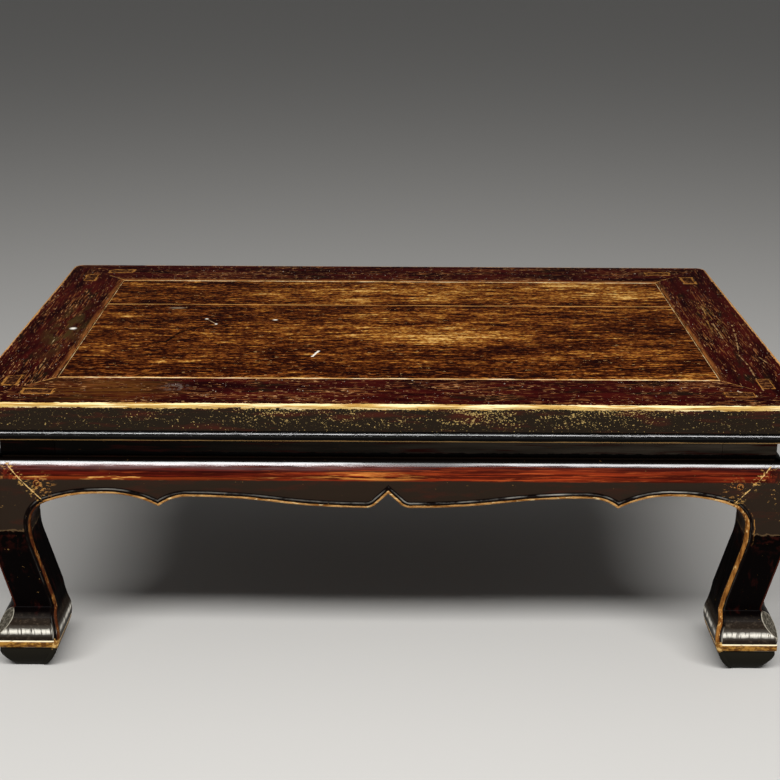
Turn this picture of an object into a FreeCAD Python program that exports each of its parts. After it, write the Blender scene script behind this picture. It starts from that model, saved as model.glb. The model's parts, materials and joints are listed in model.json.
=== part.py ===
"""Kang table: a low lacquered table with a waist, a bulging scalloped apron and hoof-footed legs.

The frame of the top is four mitred rails round a floating panel of two boards, which three dovetailed
battens hold flat. Four legs carry it. Each leg is sawn from one square billet to the same outline seen
from the front and from the side, and ends in two tenons that pass up through the frame and show on the
top. Below the frame, thin waist boards run from leg to leg, and the aprons hang under them: an apron's
mitred end laps over the head of the leg, slides down on a dovetail key and is pinned with a whittled peg.

Millimetres. +Z is up, the front is towards -Y, and the origin is on the floor under the table's middle.
Edge pieces are drawn in edge coordinates: x along the edge, y inwards from the outermost face, z up.
A leg is drawn in corner coordinates: x and y inwards from the two outermost faces of the front left corner.
"""

import FreeCAD
import Part

import os
from math import cos, radians, sin

# The table as a whole
LENGTH = 950.0
DEPTH = 620.0
HEIGHT = 342.0

# Frame of the top
RAIL_WIDTH = 88.0
RAIL_THICK = 46.0
CORNER_RADIUS = 14.0  # of the top's corners, seen from above
TOP_ROUNDING = 4.0
FASCIA_SLANT = 2.6  # the fascia leans in by this much above the bead
BEAD_HEIGHT = 11.5
BEAD_QUIRK = 4.0  # inset of the sharp corner between fascia and bead
QUIRK_HEIGHT = 1.0
BEAD_SWELL = 0.3  # inset of the bead's fullest point
BEAD_ROOT = 4.2  # inset at which the bead meets the underside
ARRIS_BEVEL = 0.8  # both edges of the line between rail and panel
MITRE_TENON_WIDTH = (16.0, 54.0)
MITRE_TENON_THICK = 14.0
MITRE_TENON_END = 12.0  # the blind tenon stops this far inside the end rail's face

# Panel, seam and battens
PANEL_SUNK = 0.6
PANEL_THICK = 12.0
PANEL_TONGUE = 8.0
TONGUE_THICK = 6.0
TONGUE_CLEAR = 2.0  # room for the panel to swell
PANEL_GAP = 0.4
PANEL_BEVEL = 0.4
SEAM_FROM_FRONT = 404.0
SEAM_TONGUE = 5.0
SEAM_TONGUE_THICK = 3.5
SEAM_TONGUE_UP = 4.0
BATTEN_OFFSETS = {"left": -250.0, "centre": 0.0, "right": 250.0}
BATTEN_WIDTH = 34.0
BATTEN_DEPTH = 26.0
BATTEN_NECK = 28.0
BATTEN_FACE = 33.0  # width of the dovetail inside the panel
BATTEN_KEY = 4.0  # how far the dovetail enters the panel
BATTEN_TENON = 18.0
BATTEN_TENON_WIDTH = 22.0
BATTEN_TENON_THICK = 12.0
BATTEN_CLEAR = 0.3

# Waist
WAIST_INSET = 31.0
WAIST_HEIGHT = 28.0
WAIST_THICK = 12.0
WAIST_TONGUE = 5.0
WAIST_TONGUE_THICK = 5.0
WAIST_CLEAR = 0.2
WAIST_SHOULDER = 4.0  # above and below an end tongue

# Outer profile that aprons and legs share, from the waist down: inset from the top's edge
BULGE_INSET = 13.0
SHOULDER_RADIUS = 11.0
SHOULDER_TURN = 48.0  # degrees that the tight shoulder turns before the long curve takes over
BULGE_FOOT_Z = 190.0  # the face is upright down to here
LEG_LEAN = 10.5  # degrees that the shank leans in
SHANK_RADIUS = 190.0

# Hoof
ANKLE_Z = 74.3
ANKLE_INSET = 30.5
ANKLE_REACH = 2.0  # the hollow of the ankle begins this far above its middle
HOOF_INSET = 13.0
HOOF_ROUND_Z = 47.5  # the hoof stands upright from its band up to here, and rounds in above
HOOF_RADIUS = 28.0
HOOF_TURN = 65.0  # degrees that the hoof's upper curve rises
HOOF_BAND_Z = 28.0  # the band's lower edge
LEAF_FOOT_Z = 44.5  # lower tip of the leaf-shaped facet
LEAF_WIDTH = 40.0
SOLE_INSET = 24.0
SOLE_SWELL = (16.4, 10.5)
CUP_CENTRE = 45.0  # the hoof's outer corner is rounded about this inset, tighter towards the floor
CUP_ROUND = ((45.2, 30.0), (38.2, 14.0), (24.0, 0.0))  # distance from that centre, height

# Leg, seen from the front: inner outline, as inset and height
LEG_HEAD = 94.0
LEG_HEAD_Z = 229.0
KNEE = (81.7, 215.8)  # where apron, leg and opening meet
KNEE_BEND = (67.2, 203.0)
NARROWEST = (63.4, 184.0)
SHANK_SWELL = (63.9, 170.0)
SHANK_TOP = (66.5, 155.0)
SHANK_END = (80.0, 88.0)
INSTEP = ((81.6, 75.0), (84.0, 62.0))
HEEL = ((86.6, 44.5), (82.0, 25.5))
TOE = ((75.0, 11.0), (66.0, 0.0))

# Mitre between apron and leg: its upper end on the face
MITRE_TOP = (37.5, 263.5)

# Raised line along the aprons' lower edges and the legs' inner edges
LINE_WIDTH = 7.0
LINE_HEIGHT = 1.2
LINE_ROOT = 6.0  # how deep the raised line runs into the wood behind it

# Apron
APRON_BACK = 43.0
APRON_LAP = 31.0  # its back, where it laps over a leg's head
KEY_CENTRE = 57.0
KEY_TOP_Z = 257.0
KEY_DEPTH = 7.0
KEY_ROOT = 10.0
KEY_FACE = 14.0
KEY_CLEAR = 0.15
PEG_CENTRE = (73.8, 239.5)
PEG_RADIUS = 4.0
PEG_SIDES = 8  # the pegs are whittled, not turned
PEG_END = 47.0

# Leg tenons through the frame
TENON_FROM = 60.0
TENON_THICK = 16.0
TENON_CLEAR = 0.2

# Scalloped lower edge: heights, and how far along the half-edge each station lies
CENTRE_NOTCH_Z = 228.5
LOBE_Z = 211.0
RISE_Z = 223.7
DROP_Z = 211.5
ARCH_Z = 226.8
RISE_SHARE = 0.58
DROP_SHARE = 0.669
ARCH_SHARE = 0.842
NOTCH_SIDE = (11.0, 218.2)
NOTCH_BEND = (17.5, 213.0)
NOTCH_FOOT = 29.0
RISE_CURVE = (2.0, 3.2)  # how far the arc after the rise stands off its chord's middle
DROP_CURVE = (0.36, 10.4)
ARCH_CURVE = (3.0, 3.1)

FRAME_BOTTOM = HEIGHT - RAIL_THICK
WAIST_BOTTOM = FRAME_BOTTOM - WAIST_HEIGHT
PANEL_TOP = HEIGHT - PANEL_SUNK
PANEL_BOTTOM = PANEL_TOP - PANEL_THICK
FAR = 400.0  # beyond any piece drawn in edge or corner coordinates
SLIGHT = 1.0  # how far a cutting shape clears a surface that it only has to reach
PAST = 12.0  # how far a cutting or adding shape runs past the surface that trims it


def at(x, z, y=0.0):
    """A point of an upright drawing plane that faces the front."""
    return FreeCAD.Vector(x, y, z)


def arc(start, middle, end):
    return Part.Arc(at(*start), at(*middle), at(*end)).toShape()


def line(start, end):
    return Part.makeLine(at(*start), at(*end))


def lines(points):
    return [line(a, b) for a, b in zip(points, points[1:])]


def upright(points):
    """Face in the drawing plane, round the points."""
    return Part.Face(Part.makePolygon([at(*p) for p in points + points[:1]]))


def level(points, z=0.0):
    """Face seen from above, round the points."""
    return Part.Face(Part.makePolygon([FreeCAD.Vector(x, y, z) for x, y in points + points[:1]]))


def joined_face(edges):
    return Part.Face(Part.Wire(Part.__sortEdges__(edges)))


def along_y(face, depth=FAR):
    """Solid from a drawing in the front plane, carried inwards."""
    return face.extrude(FreeCAD.Vector(0, depth, 0))


def raised_by(face, height):
    return face.extrude(FreeCAD.Vector(0, 0, height))


def swapped(shape):
    """The same shape with its x and y changed over, for what a corner's other side shows."""
    return shape.mirror(FreeCAD.Vector(0, 0, 0), FreeCAD.Vector(1, -1, 0))


def block(x, y, z):
    """A box from three pairs of lowest and highest coordinate."""
    lows = [min(pair) for pair in (x, y, z)]
    sizes = [max(pair) - min(pair) for pair in (x, y, z)]
    return Part.makeBox(*sizes, FreeCAD.Vector(*lows))


def on_round(centre, radius, rise):
    """Point of an outward-facing round where its face looks up by rise degrees."""
    return centre[0] - radius * cos(radians(rise)), centre[1] + radius * sin(radians(rise))


def round_arc(centre, radius, first, last):
    """Arc of such a round between two rises, with its two ends."""
    start, middle, end = (on_round(centre, radius, rise) for rise in (first, (first + last) / 2, last))
    return arc(start, middle, end), start, end


def outer_profile(proud=0.0):
    """Edges of the face that aprons and legs share, from the waist to the floor, moved out by proud."""
    turned = 90.0 - SHOULDER_TURN
    shoulder_centre = (WAIST_INSET, WAIST_BOTTOM - SHOULDER_RADIUS)
    shoulder, _, join = round_arc(shoulder_centre, SHOULDER_RADIUS, 90.0, turned)
    radius = (join[0] - BULGE_INSET) / (1 - cos(radians(turned)))
    bulge_centre = (BULGE_INSET + radius, join[1] - radius * sin(radians(turned)))
    bulge, _, bulge_end = round_arc(bulge_centre, radius, turned, 0.0)
    shank_centre = (BULGE_INSET + SHANK_RADIUS, BULGE_FOOT_Z)
    shank, shank_start, shank_end = round_arc(shank_centre, SHANK_RADIUS, 0.0, -LEG_LEAN)
    ankle_start_z = ANKLE_Z + ANKLE_REACH
    lean = sin(radians(LEG_LEAN)) / cos(radians(LEG_LEAN))
    ankle_start = (shank_end[0] + (shank_end[1] - ankle_start_z) * lean, ankle_start_z)
    hoof_centre = (HOOF_INSET + HOOF_RADIUS, HOOF_ROUND_Z)
    hoof, hoof_top, hoof_front = round_arc(hoof_centre, HOOF_RADIUS, HOOF_TURN, 0.0)
    band_end = (HOOF_INSET, HOOF_BAND_Z)
    edges = [
        shoulder,
        bulge,
        line(bulge_end, shank_start),
        shank,
        line(shank_end, ankle_start),
        arc(ankle_start, (ANKLE_INSET, ANKLE_Z), hoof_top),
        hoof,
        line(hoof_front, band_end),
        arc(band_end, SOLE_SWELL, (SOLE_INSET, 0.0)),
    ]
    for edge in edges:
        edge.translate(FreeCAD.Vector(-proud, 0, 0))
    return edges


def inner_outline():
    """Edges of a leg's inner outline from the knee down to the floor."""
    return [
        arc(KNEE, KNEE_BEND, NARROWEST),
        arc(NARROWEST, SHANK_SWELL, SHANK_TOP),
        line(SHANK_TOP, SHANK_END),
        arc(SHANK_END, INSTEP[0], INSTEP[1]),
        arc(INSTEP[1], HEEL[0], HEEL[1]),
        arc(HEEL[1], TOE[0], TOE[1]),
    ]


def profile_band(proud, back, bottom=0.0):
    """Solid along x behind the outer profile: from proud of it to back, an inset, and down to bottom."""
    sole, shoulder = (SOLE_INSET - proud, 0.0), (WAIST_INSET - proud, WAIST_BOTTOM)
    closing = lines([sole, (back, 0.0), (back, WAIST_BOTTOM), shoulder])
    band = swapped(along_y(joined_face(outer_profile(proud) + closing), 2 * LENGTH))
    band.translate(FreeCAD.Vector(-LENGTH / 2, 0, 0))
    if bottom:
        band = band.common(block((-FAR, 2 * LENGTH), (-FAR, FAR), (bottom, HEIGHT)))
    return band


def mitre_height(x):
    """Height of the mitre line between apron and leg, x from the corner's outermost face."""
    slope = (KNEE[1] - MITRE_TOP[1]) / (KNEE[0] - MITRE_TOP[0])
    return MITRE_TOP[1] + slope * (x - MITRE_TOP[0])


def above_mitre(depth=FAR):
    """All that lies above the mitre line and over the knee, down to a depth behind the face."""
    outside = -PAST
    outline = [(outside, mitre_height(outside)), KNEE, (FAR, KNEE[1]), (FAR, FAR), (outside, FAR)]
    return along_y(upright(outline), depth)


def line_beside(edges, side):
    """An open outline moved sideways by the raised line's width, with sharp corners."""
    wire = Part.Wire(Part.__sortEdges__(edges))
    sharp_corners, both_sides_closed, open_ended = 2, False, True
    return wire.makeOffset2D(side * LINE_WIDTH, sharp_corners, both_sides_closed, open_ended)


def leg_line():
    """Face of the raised line that follows a leg's inner edge, from past the mitre down to the floor."""
    edges = inner_outline()
    beside = line_beside(edges, -1)
    ends = sorted((v.Point for v in beside.OrderedVertexes), key=lambda p: p.z)
    knee, toe = at(*KNEE), at(*TOE[1])
    across = ends[-1] - knee
    onward = FreeCAD.Vector(across.z, 0, -across.x).normalize() * PAST
    closing = [
        Part.makeLine(ends[-1], ends[-1] + onward),
        Part.makeLine(ends[-1] + onward, knee + onward),
        Part.makeLine(knee + onward, knee),
        Part.makeLine(toe, ends[0]),
    ]
    return joined_face(edges + beside.Edges + closing)


def hoof_leaf():
    """What the leaf-shaped facet takes off the hoof's outer corner."""
    outline = [
        FreeCAD.Vector(ANKLE_INSET, ANKLE_INSET, ANKLE_Z),
        FreeCAD.Vector(HOOF_INSET, HOOF_INSET, LEAF_FOOT_Z),
        FreeCAD.Vector(-FAR, -FAR, LEAF_FOOT_Z),
        FreeCAD.Vector(-FAR, -FAR, ANKLE_Z),
    ]
    face = Part.Face(Part.makePolygon(outline + outline[:1]))
    across = FreeCAD.Vector(LEAF_WIDTH, -LEAF_WIDTH, 0)
    face.translate(across * -0.5)
    return face.extrude(across)


def hoof_cup():
    """What is taken off the hoof's outer corner below its edge, so that it rounds in towards the floor."""
    (_, top_z), (_, floor_z) = CUP_ROUND[0], CUP_ROUND[-1]
    section = upright([*CUP_ROUND, (0.0, floor_z), (0.0, top_z)])
    cup = section.revolve(FreeCAD.Vector(0, 0, 0), FreeCAD.Vector(0, 0, 1), 360)
    cup.translate(FreeCAD.Vector(CUP_CENTRE, CUP_CENTRE, 0))
    corner = block((0, CUP_CENTRE), (0, CUP_CENTRE), (floor_z, top_z))
    return corner.cut(cup)


def leg():
    """Front left leg in corner coordinates, with its head, tenons and keys."""
    head = [
        KNEE,
        (LEG_HEAD, LEG_HEAD_Z),
        (LEG_HEAD, FRAME_BOTTOM),
        (WAIST_INSET, FRAME_BOTTOM),
        (WAIST_INSET, WAIST_BOTTOM),
    ]
    outline = outer_profile() + lines([(SOLE_INSET, 0.0), TOE[1]]) + inner_outline() + lines(head)
    sawn = along_y(joined_face(outline))
    body = sawn.common(swapped(sawn))

    raised = along_y(leg_line()).common(profile_band(LINE_HEIGHT, LEG_HEAD))
    raised = raised.common(block((0, LEG_HEAD), (0, ANKLE_INSET + LINE_ROOT), (0, HEIGHT)))
    body = body.fuse([raised, swapped(raised)])
    body = body.cut([hoof_leaf(), hoof_cup()])

    lap = above_mitre(APRON_LAP)
    body = body.cut([lap, swapped(lap)])
    key = apron_key(0.0).common(above_mitre())
    tenon_faces = (WAIST_INSET, WAIST_INSET + TENON_THICK)
    tenon = block((TENON_FROM, LEG_HEAD), tenon_faces, (FRAME_BOTTOM - SLIGHT, HEIGHT))
    body = body.fuse([key, swapped(key), tenon, swapped(tenon)])

    mortise = waist_tongue((LEG_HEAD - WAIST_TONGUE, FAR), WAIST_CLEAR / 2)
    hole = peg_shaft()
    body = body.cut([mortise, swapped(mortise), hole, swapped(hole)])
    return body.removeSplitter()


def apron_key(clear):
    """Dovetail key on a leg's head, or with some clearance the slot for it in the apron's back."""
    root, face = KEY_ROOT / 2 + clear, KEY_FACE / 2 + clear
    back, front = APRON_LAP + SLIGHT / 2, APRON_LAP - KEY_DEPTH - clear
    low = mitre_height(KEY_CENTRE) - KEY_FACE
    half = [(root, back), (face, front)]
    outline = [(KEY_CENTRE - x, y) for x, y in half] + [(KEY_CENTRE + x, y) for x, y in reversed(half)]
    return raised_by(level(outline, low), KEY_TOP_Z + clear - low)


def peg_shaft():
    """Shaft of the peg that pins an apron's end to the leg behind it, not yet trimmed to the face."""
    turns = [360.0 * (side + 0.5) / PEG_SIDES for side in range(PEG_SIDES)]
    return along_y(upright([on_round(PEG_CENTRE, PEG_RADIUS, turn) for turn in turns]), PEG_END)


def peg():
    """Peg at the left end of an edge, its flat end level with the fullest part of the apron's bulge."""
    return peg_shaft().common(block((0, FAR), (BULGE_INSET, FAR), (0, HEIGHT)))


def waist_tongue(span, clear):
    """End tongue of a waist board, or the mortise for it."""
    middle = WAIST_INSET + WAIST_THICK / 2
    half = WAIST_TONGUE_THICK / 2 + clear
    low = WAIST_BOTTOM + WAIST_SHOULDER - clear
    top = FRAME_BOTTOM - WAIST_SHOULDER + clear
    return block(span, (middle - half, middle + half), (low, top))


def waist_rib(edge_length, clear):
    """Long tongues of a waist board above and below it, or the grooves for them."""
    middle = WAIST_INSET + WAIST_THICK / 2
    half = WAIST_TONGUE_THICK / 2
    ends = LEG_HEAD + WAIST_TONGUE - clear
    reach = WAIST_TONGUE + clear
    height = (WAIST_BOTTOM - reach, FRAME_BOTTOM + reach)
    return block((ends, edge_length - ends), (middle - half, middle + half), height)


def waist(edge_length):
    """Waist board in edge coordinates: tongued into the legs, the frame above and the apron below."""
    face = (WAIST_INSET, WAIST_INSET + WAIST_THICK)
    board = block((LEG_HEAD, edge_length - LEG_HEAD), face, (WAIST_BOTTOM, FRAME_BOTTOM))
    tongue_end = LEG_HEAD - WAIST_TONGUE + WAIST_CLEAR
    side = waist_tongue((tongue_end, edge_length - tongue_end), 0.0)
    return board.fuse([side, waist_rib(edge_length, 0.0)]).removeSplitter()


def scallop(edge_length):
    """Edges of an apron's lower edge in edge coordinates, from its left knee to its right knee."""
    half = edge_length / 2
    reach = half - KNEE[0]
    rise, drop, arch = reach * RISE_SHARE, reach * DROP_SHARE, reach * ARCH_SHARE
    wave = (NOTCH_FOOT + rise) / 2
    wave_z = (LOBE_Z + RISE_Z) / 2
    eighth = (RISE_Z - LOBE_Z) / 8
    stations = [
        line((0.0, CENTRE_NOTCH_Z), NOTCH_SIDE),
        arc(NOTCH_SIDE, NOTCH_BEND, (NOTCH_FOOT, LOBE_Z)),
        arc((NOTCH_FOOT, LOBE_Z), ((NOTCH_FOOT + wave) / 2, LOBE_Z + eighth), (wave, wave_z)),
        arc((wave, wave_z), ((wave + rise) / 2, RISE_Z - eighth), (rise, RISE_Z)),
        arc((rise, RISE_Z), ((rise + drop) / 2 + RISE_CURVE[0], RISE_Z - RISE_CURVE[1]), (drop, DROP_Z)),
        arc((drop, DROP_Z), (drop + (arch - drop) * DROP_CURVE[0], DROP_Z + DROP_CURVE[1]), (arch, ARCH_Z)),
        arc((arch, ARCH_Z), ((arch + reach) / 2 + ARCH_CURVE[0], ARCH_Z - ARCH_CURVE[1]), (reach, KNEE[1])),
    ]
    right = Part.Wire(stations)
    right.translate(FreeCAD.Vector(half, 0, 0))
    left = right.mirror(FreeCAD.Vector(half, 0, 0), FreeCAD.Vector(1, 0, 0))
    return left.Edges + right.Edges


def apron_line(edges, left_knee, right_knee):
    """Face of the raised line that follows an apron's lower edge, run past both mitres."""
    above = line_beside(edges, 1)
    if above.BoundBox.ZMax < Part.Wire(Part.__sortEdges__(edges)).BoundBox.ZMax:
        above = line_beside(edges, -1)
    ends = sorted((v.Point for v in above.OrderedVertexes), key=lambda p: p.x)
    closing = []
    for inner, knee, way in ((ends[0], left_knee, -1), (ends[-1], right_knee, 1)):
        onward = FreeCAD.Vector(way * PAST, 0, 0)
        below = knee + onward - at(0, PAST / 3)
        closing += [
            Part.makeLine(inner, inner + onward),
            Part.makeLine(inner + onward, below),
            Part.makeLine(below, knee),
        ]
    return joined_face(edges + above.Edges + closing)


def apron(edge_length):
    """Apron in edge coordinates: bulging face, scalloped edge with its raised line, mitred ends."""
    edge = scallop(edge_length)
    left_knee, right_knee = at(*KNEE), at(edge_length - KNEE[0], KNEE[1])
    slope = (KNEE[0] - MITRE_TOP[0]) / (MITRE_TOP[1] - KNEE[1])
    corner = MITRE_TOP[0] - (WAIST_BOTTOM - MITRE_TOP[1]) * slope
    left_top, right_top = at(corner, WAIST_BOTTOM), at(edge_length - corner, WAIST_BOTTOM)
    sides = [
        Part.makeLine(left_knee, left_top),
        Part.makeLine(left_top, right_top),
        Part.makeLine(right_top, right_knee),
    ]
    outline = joined_face(edge + sides)
    lowest = min(LOBE_Z, DROP_Z) - PAST
    board = along_y(outline, APRON_BACK).common(profile_band(0.0, APRON_BACK, lowest))

    raised = along_y(apron_line(edge, left_knee, right_knee), BULGE_INSET + LINE_ROOT)
    raised = raised.common(profile_band(LINE_HEIGHT, APRON_BACK, lowest)).common(along_y(outline))
    board = board.fuse(raised)

    lap = block((-FAR, LEG_HEAD), (APRON_LAP, FAR), (0, HEIGHT))
    tools = at_both_ends([lap, apron_key(KEY_CLEAR), peg_shaft()], edge_length)
    board = board.cut(tools + [waist_rib(edge_length, WAIST_CLEAR)])
    return board.removeSplitter()


def at_both_ends(shapes, edge_length):
    """Shapes at an edge's left end, with their mirrors at its right end."""
    middle = (FreeCAD.Vector(edge_length / 2, 0, 0), FreeCAD.Vector(1, 0, 0))
    return shapes + [shape.mirror(*middle) for shape in shapes]


def past_corner():
    """All that lies past the corner's diagonal, where the next edge's piece begins."""
    return raised_by(level([(-FAR, -FAR), (FAR, FAR), (-FAR, FAR)], -SLIGHT), HEIGHT + 2 * SLIGHT)


def rail_section():
    """Cross-section of a frame rail: rounded top edge, leaning fascia, round bead, panel groove."""
    bead_top = FRAME_BOTTOM + BEAD_HEIGHT
    top_edge = (TOP_ROUNDING, HEIGHT)
    face_top = (0.0, HEIGHT - TOP_ROUNDING)
    face_bottom = (FASCIA_SLANT, bead_top + QUIRK_HEIGHT)
    quirk = (BEAD_QUIRK, bead_top)
    bead_root = (BEAD_ROOT, FRAME_BOTTOM)
    slot_end = RAIL_WIDTH - PANEL_TONGUE - TONGUE_CLEAR
    slot_top = PANEL_BOTTOM + TONGUE_THICK
    rest = [
        bead_root,
        (RAIL_WIDTH, FRAME_BOTTOM),
        (RAIL_WIDTH, PANEL_BOTTOM),
        (slot_end, PANEL_BOTTOM),
        (slot_end, slot_top),
        (RAIL_WIDTH, slot_top),
        (RAIL_WIDTH, HEIGHT - ARRIS_BEVEL),
        (RAIL_WIDTH - ARRIS_BEVEL, HEIGHT),
        top_edge,
    ]
    return joined_face(
        [
            arc(top_edge, on_round((TOP_ROUNDING, HEIGHT - TOP_ROUNDING), TOP_ROUNDING, 45.0), face_top),
            line(face_top, face_bottom),
            line(face_bottom, quirk),
            arc(quirk, (BEAD_SWELL, FRAME_BOTTOM + BEAD_HEIGHT / 2), bead_root),
            *lines(rest),
        ]
    )


def rounded_corner(section):
    """Half of the moulding's turn round a corner of the top, up to the mitre."""
    reach = upright([(-SLIGHT, 0.0), (CORNER_RADIUS, 0.0), (CORNER_RADIUS, FAR), (-SLIGHT, FAR)])
    moulding = swapped(section.common(reach))
    moulding.translate(FreeCAD.Vector(CORNER_RADIUS, 0, 0))
    return moulding.revolve(FreeCAD.Vector(CORNER_RADIUS, CORNER_RADIUS, 0), FreeCAD.Vector(0, 0, 1), -45.0)


def rail(edge_length, has_tenons):
    """Frame rail in edge coordinates: mitred, with tenons on a long rail and mortises in an end rail."""
    section = rail_section()
    middle_z = FRAME_BOTTOM + RAIL_THICK / 2
    tenon = block(
        (MITRE_TENON_END, MITRE_TENON_WIDTH[1] + SLIGHT),
        MITRE_TENON_WIDTH,
        (middle_z - MITRE_TENON_THICK / 2, middle_z + MITRE_TENON_THICK / 2),
    )
    leg_mortise = block(
        (TENON_FROM - TENON_CLEAR, LEG_HEAD + TENON_CLEAR),
        (WAIST_INSET - TENON_CLEAR, WAIST_INSET + TENON_THICK + TENON_CLEAR),
        (0, FAR),
    )
    corner_reach = (-SLIGHT, CORNER_RADIUS)
    square_corner = block(corner_reach, corner_reach, (0, HEIGHT + SLIGHT))
    first_cuts = [square_corner, past_corner()]
    added = [rounded_corner(section)] + ([tenon] if has_tenons else [])
    last_cuts = [leg_mortise] + ([] if has_tenons else [swapped(tenon)])

    body = swapped(along_y(section, edge_length)).cut(at_both_ends(first_cuts, edge_length))
    body = body.fuse(at_both_ends(added, edge_length))
    body = body.cut(at_both_ends(last_cuts, edge_length) + [waist_rib(edge_length, WAIST_CLEAR)])
    if has_tenons:
        places = [edge_length / 2 + offset for offset in BATTEN_OFFSETS.values()]
        body = body.cut([batten_tenon(place, 0.0) for place in places])
    return body.removeSplitter()


def batten_tenon(centre, clear):
    """Tenon of a batten in the long rail's inner face, in edge coordinates."""
    middle = PANEL_BOTTOM - BATTEN_DEPTH / 2
    return block(
        (centre - BATTEN_TENON_WIDTH / 2, centre + BATTEN_TENON_WIDTH / 2),
        (RAIL_WIDTH - BATTEN_TENON + clear, RAIL_WIDTH + SLIGHT),
        (middle - BATTEN_TENON_THICK / 2, middle + BATTEN_TENON_THICK / 2),
    )


def batten_section(offset, start):
    """Section of a batten with its dovetail, in an upright plane at start."""
    half, neck, key = BATTEN_WIDTH / 2, BATTEN_NECK / 2, BATTEN_FACE / 2
    low, top = PANEL_BOTTOM - BATTEN_DEPTH, PANEL_BOTTOM + BATTEN_KEY
    right = [(half, low), (half, PANEL_BOTTOM), (neck, PANEL_BOTTOM), (key, top)]
    left = [(-x, z) for x, z in reversed(right)]
    section = upright(right + left)
    section.translate(FreeCAD.Vector(offset, start, 0))
    return section


def batten(offset):
    """Batten across the panel's underside, at its place, dovetailed into the boards."""
    inner = DEPTH / 2 - RAIL_WIDTH
    body = along_y(batten_section(offset, -inner), 2 * inner)
    front = batten_tenon(offset, BATTEN_CLEAR)
    front.translate(FreeCAD.Vector(0, -DEPTH / 2, 0))
    back = front.mirror(FreeCAD.Vector(0, 0, 0), FreeCAD.Vector(0, 1, 0))
    return body.fuse([front, back]).removeSplitter()


def panel_board(low, high, seam):
    """A board of the panel between two places across the top: tongued into the frame and along the seam."""
    is_front = high == seam
    half_x = LENGTH / 2 - RAIL_WIDTH
    shown_y = (low + PANEL_GAP, high) if is_front else (low, high - PANEL_GAP)
    shown = block((-half_x + PANEL_GAP, half_x - PANEL_GAP), shown_y, (PANEL_BOTTOM, PANEL_TOP))
    bevelled = [edge for edge in shown.Edges if edge.BoundBox.ZMin > PANEL_TOP - 0.01]
    shown = shown.makeChamfer(PANEL_BEVEL, bevelled)
    tongue_y = (low - PANEL_TONGUE, high) if is_front else (low, high + PANEL_TONGUE)
    tongue_x = half_x + PANEL_TONGUE
    tongue = block((-tongue_x, tongue_x), tongue_y, (PANEL_BOTTOM, PANEL_BOTTOM + TONGUE_THICK))
    seam_low = PANEL_BOTTOM + SEAM_TONGUE_UP
    seam_height = (seam_low, seam_low + SEAM_TONGUE_THICK)
    if is_front:
        groove = block((-FAR - half_x, FAR + half_x), (seam - SEAM_TONGUE, seam + SLIGHT), seam_height)
        board = shown.fuse(tongue).cut(groove)
    else:
        seam_tongue = block((-half_x, half_x), (seam - SEAM_TONGUE, seam + SLIGHT), seam_height)
        board = shown.fuse([tongue, seam_tongue])
    slots = [along_y(batten_section(offset, -FAR), 2 * FAR) for offset in BATTEN_OFFSETS.values()]
    return board.cut(slots).removeSplitter()


def placed_edge(shape, edge_length, side):
    """Moves an edge piece from edge coordinates to its side of the table."""
    turns = {"front": 0, "right": 90, "back": 180, "left": -90}
    across = DEPTH if side in ("front", "back") else LENGTH
    placed = shape.copy()
    placed.translate(FreeCAD.Vector(-edge_length / 2, -across / 2, 0))
    placed.rotate(FreeCAD.Vector(0, 0, 0), FreeCAD.Vector(0, 0, 1), turns[side])
    return placed


def at_all_corners(shape):
    """A shape in corner coordinates at its place in the front left, and mirrored to the other corners."""
    front_left = shape.copy()
    front_left.translate(FreeCAD.Vector(-LENGTH / 2, -DEPTH / 2, 0))
    centre = FreeCAD.Vector(0, 0, 0)
    across, along = FreeCAD.Vector(1, 0, 0), FreeCAD.Vector(0, 1, 0)
    front_right = front_left.mirror(centre, across)
    return {
        "front_left": front_left,
        "front_right": front_right,
        "back_left": front_left.mirror(centre, along),
        "back_right": front_right.mirror(centre, along),
    }


def build():
    """All pieces by node name."""
    pieces = {}
    for sides, edge_length, rail_name, has_tenons in (
        (("front", "back"), LENGTH, "top_rail", True),
        (("left", "right"), DEPTH, "top_end_rail", False),
    ):
        shapes = {
            rail_name: rail(edge_length, has_tenons),
            "waist_board": waist(edge_length),
            "apron": apron(edge_length),
        }
        for side in sides:
            for name, shape in shapes.items():
                pieces[f"{name}_{side}"] = placed_edge(shape, edge_length, side)
    seam = SEAM_FROM_FRONT - DEPTH / 2
    half_y = DEPTH / 2 - RAIL_WIDTH
    pieces["panel_board_front"] = panel_board(-half_y, seam, seam)
    pieces["panel_board_back"] = panel_board(seam, half_y, seam)
    for name, offset in BATTEN_OFFSETS.items():
        pieces[f"panel_batten_{name}"] = batten(offset)
    pieces.update({f"leg_{corner}": shape for corner, shape in at_all_corners(leg()).items()})
    pegs = [shape for one in (peg(), swapped(peg())) for shape in at_all_corners(one).values()]
    pieces["apron_pegs"] = Part.makeCompound(pegs)
    return pieces


def main():
    os.makedirs("parts", exist_ok=True)
    for name, shape in build().items():
        wanted = 8 if name == "apron_pegs" else 1
        print(f"{name}: {len(shape.Solids)} solid, valid {shape.isValid()}, {shape.Volume / 1000:.1f} cm3")
        if len(shape.Solids) != wanted:
            raise RuntimeError(f"{name} came out as {len(shape.Solids)} solids")
        piece = shape.Solids[0] if wanted == 1 else shape
        piece.exportStep(f"parts/{name}.step")


main()
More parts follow.
